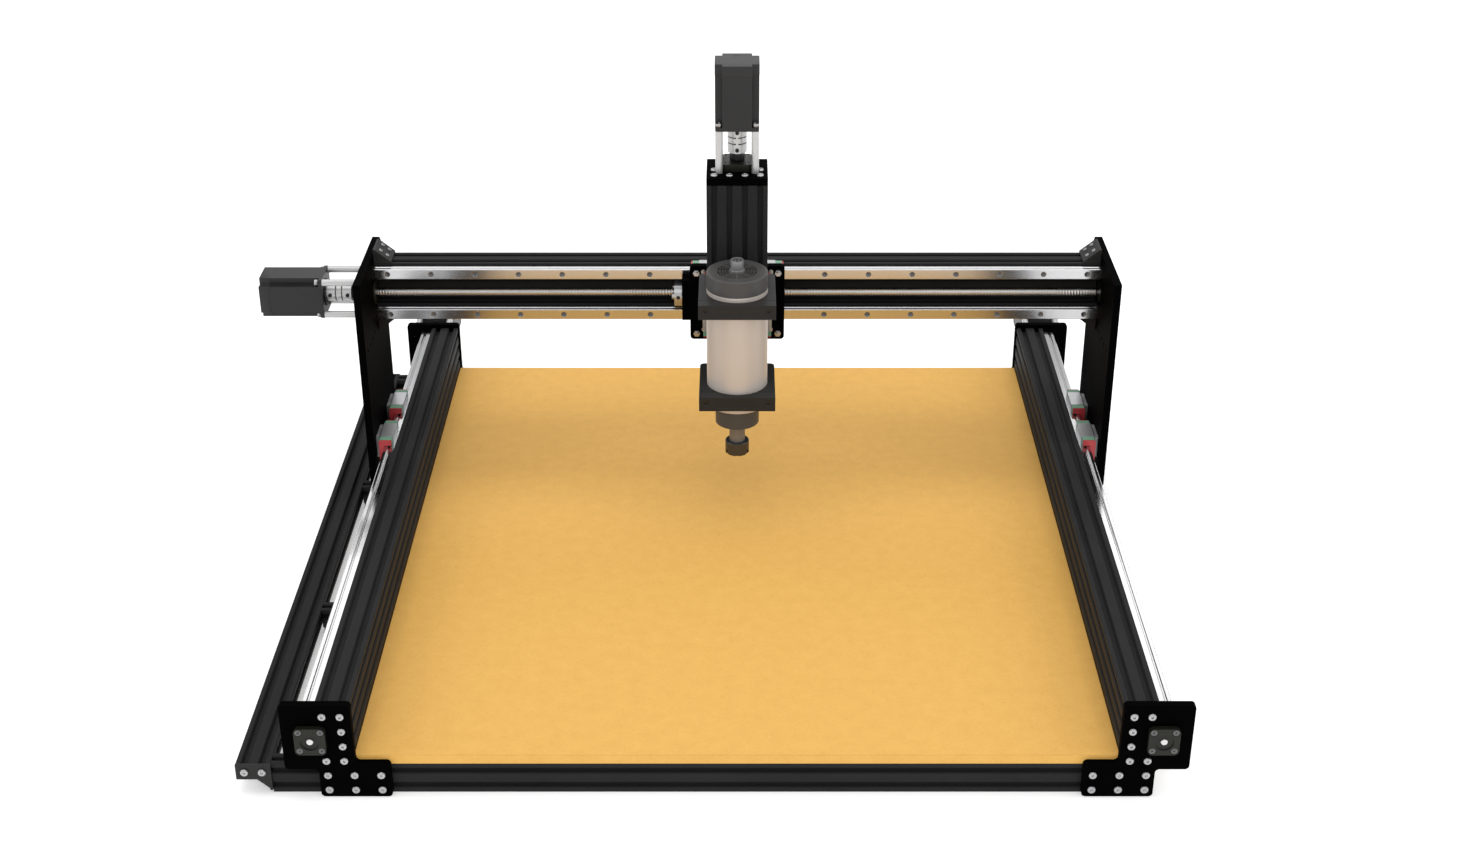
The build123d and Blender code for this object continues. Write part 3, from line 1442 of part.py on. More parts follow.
export_step(spindle_cap.part, "parts/spindle_cap.step")

with BuildPart() as spindle_connector:
    top = spindle_base.offset(spindle_length + cap_length)
    with BuildSketch(top):
        Circle(connector_base_radius)
    extrude(amount=connector_base_length)
    with BuildSketch(top):
        Circle(connector_radius)
    extrude(amount=connector_length)
    with BuildSketch(top.offset(connector_length)):
        Circle(connector_radius - connector_wall)
    extrude(amount=-connector_length * 0.45, mode=Mode.SUBTRACT)
spindle_connector.part.label = "spindle_connector"
export_step(spindle_connector.part, "parts/spindle_connector.step")

nose_notch_place = (0, spindle_y - nose_radius, spindle_bottom - nose_notch_height / 2)

with BuildPart() as spindle_nose:
    with BuildSketch(spindle_base.offset(-nose_length)):
        Circle(nose_radius)
    extrude(amount=nose_length)
    with BuildSketch(spindle_base):
        Circle(bore_radius)
    extrude(amount=nose_spigot_length)
    with BuildSketch(spindle_base.offset(-nose_length + bearing_web)):
        Circle(spindle_bearing_radius)
    extrude(amount=nose_length + nose_spigot_length - bearing_web, mode=Mode.SUBTRACT)
    with BuildSketch(spindle_base.offset(-nose_length)):
        Circle(shaft_radius + running_gap)
    extrude(amount=bearing_web, mode=Mode.SUBTRACT)
    with BuildSketch(Plane(origin=nose_notch_place, x_dir=(1, 0, 0), z_dir=(0, -1, 0))):
        Rectangle(nose_notch_width, nose_notch_height)
    extrude(amount=-nose_notch_depth, mode=Mode.SUBTRACT)
spindle_nose.part.label = "spindle_nose"
export_step(spindle_nose.part, "parts/spindle_nose.step")

lower_bearing_start = -nose_length + bearing_web
spindle_bearing_starts = (
    lower_bearing_start,
    lower_bearing_start + spindle_bearing_length + 1,
    spindle_length - spindle_bearing_length,
)
journal_bore = shaft_journal_radius + running_gap

with BuildPart() as spindle_bearings:
    for start in spindle_bearing_starts:
        add_ring(spindle_base, start, spindle_bearing_length, spindle_bearing_radius, journal_bore)
spindle_bearings.part.label = "spindle_bearings"
export_step(spindle_bearings.part, "parts/spindle_bearings.step")

# ================================================================ spindle rotor
# The collet sits in a taper in the shaft's end; the nut below presses it home.
shaft_end = spindle_base.offset(shaft_bottom - spindle_bottom)

with BuildPart() as spindle_shaft:
    with BuildSketch(shaft_end):
        Circle(shaft_radius)
    extrude(amount=shaft_length + bearing_web - 0.3)
    with BuildSketch(spindle_base.offset(lower_bearing_start - 0.3)):
        Circle(shaft_journal_radius)
    extrude(amount=spindle_length - 1 - lower_bearing_start)
    with BuildSketch(spindle_base.offset(stator_start)):
        Circle(rotor_radius)
    extrude(amount=stator_length)
    with BuildSketch(shaft_end):
        Circle(collet_large_radius)
    with BuildSketch(shaft_end.offset(collet_length)):
        Circle(collet_small_radius)
    loft(mode=Mode.SUBTRACT)
spindle_shaft.part.label = "spindle_shaft"
export_step(spindle_shaft.part, "parts/spindle_shaft.step")

with BuildPart() as collet:
    with BuildSketch(shaft_end):
        Circle(collet_large_radius)
    with BuildSketch(shaft_end.offset(collet_length)):
        Circle(collet_small_radius)
    loft()
    with BuildSketch(shaft_end):
        Circle(collet_mouth_radius)
    extrude(amount=-collet_nut_floor)
    with BuildSketch(shaft_end.offset(-collet_nut_floor)):
        Circle(tool_radius)
    extrude(amount=collet_length + collet_nut_floor, mode=Mode.SUBTRACT)
collet.part.label = "collet"
export_step(collet.part, "parts/collet.step")

with BuildPart() as collet_nut:
    with BuildSketch(shaft_end.offset(-collet_nut_floor)):
        Circle(collet_nut_radius)
        Circle(collet_mouth_radius, mode=Mode.SUBTRACT)
    extrude(amount=collet_nut_length)
    chamfer(collet_nut.edges().filter_by(GeomType.CIRCLE).sort_by(SortBy.RADIUS)[-2:], 1.0)
    with BuildSketch(shaft_end):
        Circle(shaft_radius)
    extrude(amount=collet_nut_length - collet_nut_floor, mode=Mode.SUBTRACT)
    with BuildSketch(shaft_end.offset(-collet_nut_floor)):
        with PolarLocations(collet_nut_radius, collet_nut_slots, start_angle=30):
            Rectangle(2 * collet_slot_depth, collet_slot_width)
    extrude(amount=collet_slot_height, mode=Mode.SUBTRACT)
collet_nut.part.label = "collet_nut"
export_step(collet_nut.part, "parts/collet_nut.step")
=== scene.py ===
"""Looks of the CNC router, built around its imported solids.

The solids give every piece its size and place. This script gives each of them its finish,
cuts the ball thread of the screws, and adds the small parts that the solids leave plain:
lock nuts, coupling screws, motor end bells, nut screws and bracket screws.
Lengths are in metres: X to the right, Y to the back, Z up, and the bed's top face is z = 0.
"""

import json
import logging
import math
from dataclasses import dataclass
from enum import Enum

import bmesh
import bpy
from mathutils import Euler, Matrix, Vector

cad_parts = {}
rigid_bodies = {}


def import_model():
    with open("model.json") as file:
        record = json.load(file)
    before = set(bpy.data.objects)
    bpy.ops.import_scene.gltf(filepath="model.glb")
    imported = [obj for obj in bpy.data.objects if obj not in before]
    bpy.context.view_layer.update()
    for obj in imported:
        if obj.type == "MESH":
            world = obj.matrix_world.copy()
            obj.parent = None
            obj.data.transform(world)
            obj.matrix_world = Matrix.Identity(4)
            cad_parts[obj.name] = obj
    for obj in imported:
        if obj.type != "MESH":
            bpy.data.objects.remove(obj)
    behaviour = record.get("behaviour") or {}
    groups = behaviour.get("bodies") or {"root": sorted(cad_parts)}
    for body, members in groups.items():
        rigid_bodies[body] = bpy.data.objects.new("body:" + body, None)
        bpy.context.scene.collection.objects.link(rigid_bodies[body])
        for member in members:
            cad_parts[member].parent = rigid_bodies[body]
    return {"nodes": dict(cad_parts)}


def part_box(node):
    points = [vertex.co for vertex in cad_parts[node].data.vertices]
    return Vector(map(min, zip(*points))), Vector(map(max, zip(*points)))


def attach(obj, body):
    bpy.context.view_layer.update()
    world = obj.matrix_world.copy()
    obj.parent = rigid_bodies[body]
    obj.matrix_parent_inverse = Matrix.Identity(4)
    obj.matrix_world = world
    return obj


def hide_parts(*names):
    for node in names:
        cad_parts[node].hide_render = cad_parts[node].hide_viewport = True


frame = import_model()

LOG = logging.getLogger("router")
MM = 0.001

Point = tuple[float, float, float]
Colour = tuple[float, float, float]


# ---------------------------------------------------------------- shader expressions
class Value:
    """A number socket that takes part in Python arithmetic.

    Args:
        graph: The graph that holds the socket's node.
        socket: The output socket.
    """

    def __init__(self, graph: "Graph", socket: bpy.types.NodeSocket) -> None:
        self.graph = graph
        self.socket = socket

    def _math(self, operation: str, first: object, second: object) -> "Value":
        """Add one Math node.

        Args:
            operation: The node's operation.
            first: The first value or number.
            second: The second value or number.

        Returns:
            The node's result.
        """
        return self.graph.node("ShaderNodeMath", {"operation": operation}, {0: first, 1: second})

    def __add__(self, other: object) -> "Value":
        """Sum of two values."""
        return self._math("ADD", self, other)

    __radd__ = __add__

    def __sub__(self, other: object) -> "Value":
        """Difference of two values."""
        return self._math("SUBTRACT", self, other)

    def __rsub__(self, other: object) -> "Value":
        """Difference with this value second."""
        return self._math("SUBTRACT", other, self)

    def __mul__(self, other: object) -> "Value":
        """Product of two values."""
        return self._math("MULTIPLY", self, other)

    __rmul__ = __mul__


class Graph:
    """Node tree of one material, with its principled shader.

    Args:
        material: The material to fill.
    """

    def __init__(self, material: bpy.types.Material) -> None:
        material.use_nodes = True
        self.tree = material.node_tree
        self.shader = self.tree.nodes["Principled BSDF"]

    def node(self, kind: str, settings: dict, inputs: dict, output: object = 0) -> Value:
        """Add a node of any kind.

        Args:
            kind: The node's type name.
            settings: Attributes to set first; "stops" fills a colour ramp.
            inputs: Socket name or number to a value, a number or a tuple.
            output: Name or number of the output that is wanted.

        Returns:
            The output, ready for arithmetic or for another node.
        """
        made = self.tree.nodes.new(kind)
        for name, setting in settings.items():
            if name == "stops":
                self._fill_ramp(made.color_ramp, setting)
            else:
                setattr(made, name, setting)
        for name, source in inputs.items():
            if isinstance(source, Value):
                self.tree.links.new(source.socket, made.inputs[name])
            else:
                made.inputs[name].default_value = source
        return Value(self, made.outputs[output])

    @staticmethod
    def _fill_ramp(ramp: bpy.types.ColorRamp, stops: list) -> None:
        """Place a ramp's stops, each a position and a grey level."""
        while len(ramp.elements) < len(stops):
            ramp.elements.new(0.5)
        for element, (position, level) in zip(ramp.elements, stops):
            element.position = position
            element.color = (level, level, level, 1.0)

    def place(self, stretch: Point) -> Value:
        """Object coordinates stretched by a factor along each axis."""
        coordinates = self.node("ShaderNodeTexCoord", {}, {}, "Object")
        return self.node("ShaderNodeMapping", {}, {"Vector": coordinates, "Scale": stretch})

    def noise(self, where: Value, scale: float, detail: float = 3.0) -> Value:
        """Noise between 0 and 1 at a number of grains per metre."""
        inputs = {"Vector": where, "Scale": scale, "Detail": detail}
        return self.node("ShaderNodeTexNoise", {}, inputs, "Fac")

    def ramp(self, value: Value, low: float, high: float) -> Value:
        """Value spread so that low becomes 0 and high becomes 1."""
        settings = {"stops": [(low, 0.0), (high, 1.0)]}
        return self.node("ShaderNodeValToRGB", settings, {"Fac": value}, "Color")

    def blend(self, amount: object, first: object, second: object) -> Value:
        """Colour between two colours."""
        first = first if isinstance(first, Value) else (*first, 1.0)
        second = second if isinstance(second, Value) else (*second, 1.0)
        settings = {"data_type": "RGBA"}
        return self.node("ShaderNodeMix", settings, {0: amount, 6: first, 7: second}, 2)

    def edge_mask(self, rounded: Value) -> Value:
        """One along edges, where the rounded normal leaves the face's own."""
        flat = self.node("ShaderNodeNewGeometry", {}, {}, "Normal")
        settings = {"operation": "DOT_PRODUCT"}
        match = self.node("ShaderNodeVectorMath", settings, {0: rounded, 1: flat}, "Value")
        return self.ramp(1.0 - match, 0.02, 0.22)

    def shade(self, **sockets: object) -> None:
        """Set or link sockets of the principled shader by their names."""
        for name, source in sockets.items():
            socket = self.shader.inputs[name.replace("_", " ").title().replace("Ior", "IOR")]
            if isinstance(source, Value):
                self.tree.links.new(source.socket, socket)
            else:
                socket.default_value = source


# ---------------------------------------------------------------- finishes
class Grain(Enum):
    """How a surface's fine structure runs; the value is its stretch along X, Y and Z."""

    ALONG_X = (0.03, 1.0, 1.0)
    ALONG_Y = (1.0, 0.03, 1.0)
    ALONG_Z = (1.0, 1.0, 0.03)
    EVEN = (1.0, 1.0, 1.0)


@dataclass(frozen=True)
class Finish:
    """A finish with fine grain, slow variation and worn edges."""

    name: str
    colour: Colour
    second: Colour
    roughness: float
    metallic: float = 0.0
    grain: Grain = Grain.EVEN
    grain_scale: float = 900.0
    grain_bump: float = 0.15
    grain_depth: float = 0.00004
    patch_scale: float = 14.0
    spread: float = 0.08
    edge: Colour = (0.3, 0.3, 0.3)
    wear: float = 0.35
    edge_radius: float = 0.0006
    coat: float = 0.0
    coat_roughness: float = 0.2
    specular: float = 0.5
    ior: float = 1.5

    def build(self) -> bpy.types.Material:
        """Make the material.

        Returns:
            The new material.
        """
        material = bpy.data.materials.new(self.name)
        graph = Graph(material)
        grains = graph.noise(graph.place(self.grain.value), self.grain_scale)
        patches = graph.noise(graph.place(Grain.EVEN.value), self.patch_scale, 4.0)
        rounded = graph.node("ShaderNodeBevel", {"samples": 4}, {"Radius": self.edge_radius})
        edges = graph.edge_mask(rounded) * (patches * 0.8 + 0.4) * self.wear
        mottle = graph.ramp(grains * 0.55 + patches * 0.45, 0.3, 0.7)
        base = graph.blend(mottle, self.colour, self.second)
        bump_sizes = {"Strength": self.grain_bump, "Distance": self.grain_depth}
        bump_inputs = {**bump_sizes, "Height": grains, "Normal": rounded}
        graph.shade(
            base_color=graph.blend(edges, base, self.edge),
            roughness=(grains + patches - 1.0) * self.spread + self.roughness,
            metallic=self.metallic,
            normal=graph.node("ShaderNodeBump", {}, bump_inputs),
            coat_weight=self.coat,
            coat_roughness=self.coat_roughness,
            specular_ior_level=self.specular,
            ior=self.ior,
        )
        material.diffuse_color = (*self.colour, 1.0)
        return material


@dataclass(frozen=True)
class FibreBoard:
    """Pressed wood fibre: warm mottled face with short fibres and fine dust."""

    name: str = "fibre_board"
    light: Colour = (0.825, 0.475, 0.107)
    dark: Colour = (0.74, 0.40, 0.080)
    fibre: Colour = (0.60, 0.30, 0.058)
    edge: Colour = (0.62, 0.33, 0.075)

    def build(self) -> bpy.types.Material:
        """Make the material.

        Returns:
            The new material.
        """
        material = bpy.data.materials.new(self.name)
        graph = Graph(material)
        even = graph.place(Grain.EVEN.value)
        clouds = graph.noise(even, 55.0, 6.0)
        flecks = graph.noise(graph.place((0.5, 1.0, 1.0)), 380.0, 4.0)
        cross_flecks = graph.noise(graph.place((1.0, 0.5, 1.0)), 430.0, 4.0)
        dust = graph.noise(even, 1500.0, 2.0)
        mottle = graph.ramp(clouds * 0.3 + flecks * 0.4 + cross_flecks * 0.3, 0.38, 0.62)
        base = graph.blend(mottle, self.dark, self.light)
        threads = graph.ramp(flecks * 0.5 + cross_flecks * 0.5, 0.54, 0.66)
        base = graph.blend(threads * 0.35, base, self.fibre)
        rounded = graph.node("ShaderNodeBevel", {"samples": 4}, {"Radius": 0.0009})
        base = graph.blend(graph.edge_mask(rounded) * 0.5, base, self.edge)
        height = dust * 0.5 + flecks * 0.5
        sizes = {"Strength": 0.25, "Distance": 0.0002, "Height": height, "Normal": rounded}
        graph.shade(
            base_color=base,
            roughness=dust * 0.15 + 0.62,
            normal=graph.node("ShaderNodeBump", {}, sizes),
        )
        material.diffuse_color = (*self.light, 1.0)
        return material


def anodised(name: str, grain: Grain) -> Finish:
    """Black anodised bar, drawn along one axis."""
    return Finish(
        name,
        colour=(0.014, 0.014, 0.0145),
        second=(0.023, 0.023, 0.024),
        roughness=0.62,
        specular=0.1,
        grain=grain,
        grain_scale=1600.0,
        edge=(0.06, 0.06, 0.063),
        wear=0.5,
    )


def ground_steel(name: str, grain: Grain) -> Finish:
    """Bright ground steel, with its grinding lines along one axis."""
    return Finish(
        name,
        colour=(0.58, 0.58, 0.585),
        second=(0.50, 0.50, 0.51),
        roughness=0.14,
        metallic=1.0,
        grain=grain,
        grain_scale=2600.0,
        grain_bump=0.10,
        spread=0.05,
        edge=(0.9, 0.9, 0.9),
        wear=0.6,
    )


BLACK_PLATE = Finish(
    "black_plate", (0.0005, 0.0005, 0.0006), (0.0012, 0.0012, 0.0013), 0.68,
    specular=0.01, grain_scale=2400.0, edge=(0.018, 0.018, 0.019), wear=0.5,
)
FINISHES = (
    anodised("anodised_across", Grain.ALONG_X),
    anodised("anodised_along", Grain.ALONG_Y),
    anodised("anodised_upright", Grain.ALONG_Z),
    ground_steel("rail_steel_across", Grain.ALONG_X),
    ground_steel("rail_steel_along", Grain.ALONG_Y),
    ground_steel("rail_steel_upright", Grain.ALONG_Z),
    BLACK_PLATE,
    FibreBoard(),
    Finish("block_steel", (0.50, 0.50, 0.51), (0.42, 0.42, 0.43), 0.34, metallic=0.85,
           grain_scale=1800.0, edge=(0.75, 0.75, 0.75)),
    Finish("block_cap", (0.165, 0.36, 0.235), (0.135, 0.31, 0.20), 0.45,
           grain_scale=3000.0, edge=(0.30, 0.52, 0.38), wear=0.3),
    Finish("block_seal", (0.50, 0.045, 0.05), (0.42, 0.035, 0.04), 0.5,
           grain_scale=3000.0, edge=(0.62, 0.12, 0.12), wear=0.3),
    Finish("bearing_black", (0.009, 0.009, 0.006), (0.015, 0.015, 0.010), 0.42, metallic=0.2,
           specular=0.3, grain_scale=1500.0, edge=(0.16, 0.155, 0.12)),
    Finish("lock_nut_black", (0.008, 0.008, 0.008), (0.015, 0.015, 0.015), 0.35, metallic=0.5,
           edge=(0.1, 0.1, 0.1)),
    Finish("screw_steel", (0.66, 0.65, 0.63), (0.52, 0.51, 0.5), 0.2, metallic=1.0,
           grain_scale=1400.0, edge=(0.85, 0.85, 0.84), edge_radius=0.0003),
    Finish("zinc", (0.47, 0.47, 0.475), (0.38, 0.38, 0.39), 0.3, metallic=1.0,
           grain_scale=2500.0, edge=(0.72, 0.72, 0.72), edge_radius=0.0003),
    Finish("bare_aluminium", (0.58, 0.58, 0.575), (0.50, 0.50, 0.50), 0.38, metallic=0.7,
           grain_scale=1800.0, edge=(0.92, 0.92, 0.92)),
    Finish("motor_black", (0.014, 0.014, 0.0145), (0.022, 0.022, 0.023), 0.42, specular=0.3,
           grain_scale=1300.0, edge=(0.07, 0.07, 0.07)),
    Finish("motor_bell", (0.018, 0.018, 0.0185), (0.026, 0.026, 0.027), 0.46, specular=0.3,
           grain_scale=900.0, grain_bump=0.3, edge=(0.08, 0.08, 0.08)),
    Finish("spindle_shell", (0.53, 0.475, 0.43), (0.59, 0.53, 0.48), 0.42, metallic=0.25,
           grain_scale=2200.0, edge=(0.7, 0.62, 0.55)),
    Finish("spindle_dark", (0.052, 0.050, 0.0485), (0.066, 0.064, 0.062), 0.46, specular=0.4,
           grain_scale=1500.0, edge=(0.16, 0.155, 0.15)),
    Finish("clamp_dark", (0.014, 0.0135, 0.013), (0.020, 0.0195, 0.019), 0.48, specular=0.22,
           grain_scale=1500.0, edge=(0.13, 0.13, 0.13)),
    Finish("connector_grey", (0.30, 0.30, 0.30), (0.25, 0.25, 0.25), 0.36, metallic=0.6,
           grain_scale=1500.0, edge=(0.65, 0.65, 0.65)),
    Finish("shaft_steel", (0.20, 0.19, 0.185), (0.15, 0.145, 0.14), 0.4, metallic=0.4,
           grain_scale=1400.0, edge=(0.65, 0.62, 0.6)),
    Finish("collet_nut_dark", (0.06, 0.058, 0.056), (0.085, 0.082, 0.08), 0.34, metallic=0.7,
           grain_scale=1500.0, edge=(0.22, 0.22, 0.22)),
    Finish("flange_screw", (0.15, 0.15, 0.15), (0.11, 0.11, 0.11), 0.32, metallic=0.8,
           edge=(0.35, 0.35, 0.35), edge_radius=0.0003),
    Finish("rail_screw", (0.20, 0.20, 0.205), (0.14, 0.14, 0.145), 0.34, metallic=0.7,
           edge=(0.4, 0.4, 0.4), edge_radius=0.0003),
    Finish("socket_black", (0.012, 0.012, 0.012), (0.02, 0.02, 0.02), 0.4, metallic=0.4,
           edge=(0.09, 0.09, 0.09), edge_radius=0.0003),
    Finish("copper_varnish", (0.42, 0.16, 0.06), (0.33, 0.12, 0.045), 0.4, metallic=0.3),
)

# The finish of every solid that stays as it is.
NODE_FINISH = {
    "anodised_across": ("cross_beams", "x_beam"),
    "anodised_along": ("y_beam_left", "y_beam_right", "chain_bar"),
    "anodised_upright": ("z_beam",),
    "rail_steel_across": ("x_rails",),
    "rail_steel_along": ("y_rails",),
    "rail_steel_upright": ("z_rails",),
    "black_plate": ("front_plates", "rear_plates", "gantry_plate_left", "gantry_plate_right",
                    "carriage_plate", "nut_plates", "z_end_plates", "y_nut_mounts"),
    "fibre_board": ("spoilboard",),
    "block_steel": ("y_blocks", "carriage_blocks", "y_ball_nuts", "carriage_ball_nuts"),
    "block_cap": ("y_block_caps", "carriage_block_caps"),
    "block_seal": ("y_block_seals", "carriage_block_seals"),
    "bearing_black": ("y_screw_bearings", "x_screw_bearings", "z_screw_bearings"),
    "zinc": ("carriage_bolts",),
    "bare_aluminium": ("y_motor_standoffs", "x_motor_standoffs", "z_motor_standoffs",
                       "y_drive_left", "y_drive_right", "x_drive", "z_drive"),
    "motor_black": ("y_motors", "x_motor", "z_motor"),
    "spindle_shell": ("spindle_body",),
    "spindle_dark": ("spindle_cap", "spindle_nose"),
    "clamp_dark": ("clamp_backs", "clamp_fronts", "chain_bar_brackets", "gantry_brackets"),
    "connector_grey": ("spindle_connector",),
    "shaft_steel": ("spindle_shaft", "collet"),
    "collet_nut_dark": ("collet_nut",),
    "copper_varnish": ("spindle_stator",),
    "screw_steel": ("spindle_bearings",),
}


# ---------------------------------------------------------------- modelling helpers
class Facing(Enum):
    """Where a piece's own Z axis points; the value is its turn about X, Y and Z."""

    RIGHT = (0.0, math.pi / 2, 0.0)
    LEFT = (0.0, -math.pi / 2, 0.0)
    BACK = (-math.pi / 2, 0.0, 0.0)
    FRONT = (math.pi / 2, 0.0, 0.0)
    UP = (0.0, 0.0, 0.0)
    DOWN = (math.pi, 0.0, 0.0)

    def way(self) -> Vector:
        """Direction of the piece's own Z axis."""
        return Euler(self.value).to_matrix() @ Vector((0.0, 0.0, 1.0))

    def from_place(self, place: Point, along: float = 0.0, side: Point = (0.0, 0.0, 0.0)) -> Point:
        """Point at a distance along this direction from a place, and aside from it.

        Args:
            place: The starting point.
            along: Distance along the direction.
            side: A further offset in the machine's axes.

        Returns:
            The point.
        """
        return tuple(Vector(place) + self.way() * along + Vector(side))


@dataclass(frozen=True)
class Tilt:
    """A turn about Y that points a piece's own Z axis between X and Z."""

    value: Point

    @classmethod
    def towards(cls, across: float, up: float) -> "Tilt":
        """Turn whose Z axis points along (across, 0, up)."""
        return cls((0.0, math.atan2(across, up), 0.0))


class Bench:
    """Modelling steps that every piece goes through."""

    def __init__(self, finishes: dict[str, bpy.types.Material]) -> None:
        self.finishes = finishes
        self.count = 0

    @staticmethod
    def clear() -> None:
        """Deselect everything."""
        for thing in bpy.context.view_layer.objects:
            thing.select_set(False)

    @staticmethod
    def pick(piece: bpy.types.Object) -> None:
        """Make one object the only selected one."""
        Bench.clear()
        piece.select_set(True)
        bpy.context.view_layer.objects.active = piece

    @staticmethod
    def choose_faces(way: Point, least: float = 0.9) -> None:
        """Select the faces of the edited mesh that look one way.

        Args:
            way: The direction.
            least: Least cosine between a face's normal and the direction.
        """
        mesh = bmesh.from_edit_mesh(bpy.context.object.data)
        wanted = Vector(way)
        for face in mesh.faces:
            face.select_set(face.normal.dot(wanted) > least)
        mesh.select_flush_mode()
        bmesh.update_edit_mesh(bpy.context.object.data)

    @staticmethod
    def modify(piece: bpy.types.Object, kind: str, settings: dict) -> None:
        """Add a modifier and apply it.

        Args:
            piece: The object.
            kind: The modifier's type.
            settings: Its attributes.
        """
        Bench.pick(piece)
        bpy.ops.object.modifier_add(type=kind)
        modifier = piece.modifiers[-1]
        for name, setting in settings.items():
            setattr(modifier, name, setting)
        bpy.ops.object.modifier_apply(modifier=modifier.name)

    @staticmethod
    def clean(piece: bpy.types.Object, distance: float = 1e-6) -> None:
        """Merge doubles and turn the faces outwards."""
        Bench.pick(piece)
        bpy.ops.object.mode_set(mode="EDIT")
        bpy.ops.mesh.select_all(action="SELECT")
        bpy.ops.mesh.remove_doubles(threshold=distance)
        bpy.ops.mesh.normals_make_consistent(inside=False)
        bpy.ops.object.mode_set(mode="OBJECT")

    def line(self, points: list[tuple[float, float]]) -> bpy.types.Object:
        """Draw a profile in the XZ plane as a chain of edges.

        Args:
            points: Radius and height of each point.

        Returns:
            The new object, at the origin.
        """
        self.clear()
        bpy.ops.mesh.primitive_plane_add(size=1e-4, location=(0.0, 0.0, 0.0))
        bpy.ops.object.mode_set(mode="EDIT")
        bpy.ops.mesh.select_all(action="SELECT")
        bpy.ops.mesh.merge(type="CENTER")
        bpy.ops.transform.translate(value=(points[0][0], 0.0, points[0][1]))
        for start, end in zip(points, points[1:]):
            step = (end[0] - start[0], 0.0, end[1] - start[1])
            bpy.ops.mesh.extrude_region_move(TRANSFORM_OT_translate={"value": step})
        bpy.ops.object.mode_set(mode="OBJECT")
        return bpy.context.object

    def turned(self, points: list[tuple[float, float]], steps: int = 40) -> bpy.types.Object:
        """Turn a profile round the Z axis, as on a lathe.

        Args:
            points: Radius and height of each point, from axis to axis.
            steps: Sides of the turned piece.

        Returns:
            The new closed object, its axis on Z.
        """
        piece = self.line(points)
        turn = {"axis": "Z", "steps": steps, "render_steps": steps, "use_merge_vertices": False}
        self.modify(piece, "SCREW", turn)
        self.clean(piece)
        return piece

    def prism(
        self, radius: float, height: float, sides: int, start: float = 0.0
    ) -> bpy.types.Object:
        """Make a short bar with flat sides, standing on a height.

        Args:
            radius: Radius to the corners.
            height: Length of the bar.
            sides: Number of sides.
            start: Height of its foot.

        Returns:
            The new object.
        """
        self.clear()
        bpy.ops.mesh.primitive_cylinder_add(
            vertices=sides, radius=radius, depth=height, location=(0.0, 0.0, start + height / 2)
        )
        piece = bpy.context.object
        bpy.ops.object.transform_apply(location=True, rotation=True, scale=True)
        return piece

    def block(self, middle: Point, size: Point, turn: float = 0.0) -> bpy.types.Object:
        """Make a box.

        Args:
            middle: Its middle.
            size: Its lengths along X, Y and Z before it is turned.
            turn: Its turn about Z.

        Returns:
            The new object.
        """
        self.clear()
        bpy.ops.mesh.primitive_cube_add(size=1.0, location=middle)
        piece = bpy.context.object
        piece.scale = size
        piece.rotation_euler = (0.0, 0.0, turn)
        bpy.ops.object.transform_apply(location=True, rotation=True, scale=True)
        return piece

    def cut(self, piece: bpy.types.Object, tool: bpy.types.Object) -> None:
        """Take a tool's shape out of a piece and delete the tool."""
        settings = {"object": tool, "operation": "DIFFERENCE", "solver": "EXACT"}
        self.modify(piece, "BOOLEAN", settings)
        self.pick(tool)
        bpy.ops.object.delete()

    def cap_screw(self, radius: float, height: float) -> bpy.types.Object:
        """Head of a socket screw with a rounded rim and a hexagon socket, seat on z = 0."""
        piece = self.prism(radius, height, 28)
        bpy.ops.object.mode_set(mode="EDIT")
        self.choose_faces((0.0, 0.0, 1.0))
        bpy.ops.mesh.bevel(offset=radius * 0.12, segments=2, affect="EDGES")
        bpy.ops.object.mode_set(mode="OBJECT")
        self.cut(piece, self.prism(radius * 0.5, height, 6, height * 0.45))
        return piece

    def copy(self, master: bpy.types.Object) -> bpy.types.Object:
        """Copy a piece, with a mesh of its own."""
        self.pick(master)
        bpy.ops.object.duplicate(linked=False)
        return bpy.context.object

    def join(self, pieces: list[bpy.types.Object]) -> bpy.types.Object:
        """Join several objects into the first of them."""
        self.clear()
        for piece in pieces:
            piece.select_set(True)
        bpy.context.view_layer.objects.active = pieces[0]
        bpy.ops.object.join()
        return bpy.context.object

    def put(self, piece: bpy.types.Object, place: Point, facing: Facing | Tilt) -> bpy.types.Object:
        """Turn a piece to its direction, move it to its place, and keep both in its mesh."""
        self.pick(piece)
        piece.rotation_euler = facing.value
        piece.location = place
        bpy.ops.object.transform_apply(location=True, rotation=True, scale=True)
        return piece

    def spread(
        self, master: bpy.types.Object, places: list[tuple[Point, Facing | Tilt]]
    ) -> bpy.types.Object:
        """Put a copy of a piece at each place, joined, and delete the master.

        Args:
            master: The piece, its axis on Z.
            places: Where each copy goes and which way it faces.

        Returns:
            All copies as one object.
        """
        copies = [self.put(self.copy(master), place, facing) for place, facing in places]
        self.pick(master)
        bpy.ops.object.delete()
        return self.join(copies)

    def finish(
        self,
        piece: bpy.types.Object,
        name: str,
        body: str,
        finish: str,
        slot: str,
        replaces: tuple[str, ...] = (),
        smooth: float = 35.0,
    ) -> None:
        """Name, dress and hand over a finished piece.

        Args:
            piece: The object.
            name: Its name.
            body: The body that it moves with.
            finish: Name of its finish.
            slot: The record's material slot; not used.
            replaces: Solids that it stands for.
            smooth: Edges below this many degrees are shaded smooth.
        """
        self.pick(piece)
        bpy.ops.object.shade_smooth_by_angle(angle=math.radians(smooth))
        piece.name = name
        piece.data.name = name
        piece.data.materials.clear()
        piece.data.materials.append(self.finishes[finish])
        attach(piece, body)
        if replaces:
            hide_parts(*replaces)
        self.count += 1
        LOG.info("%s: %d faces, rides on %s", name, len(piece.data.polygons), body)


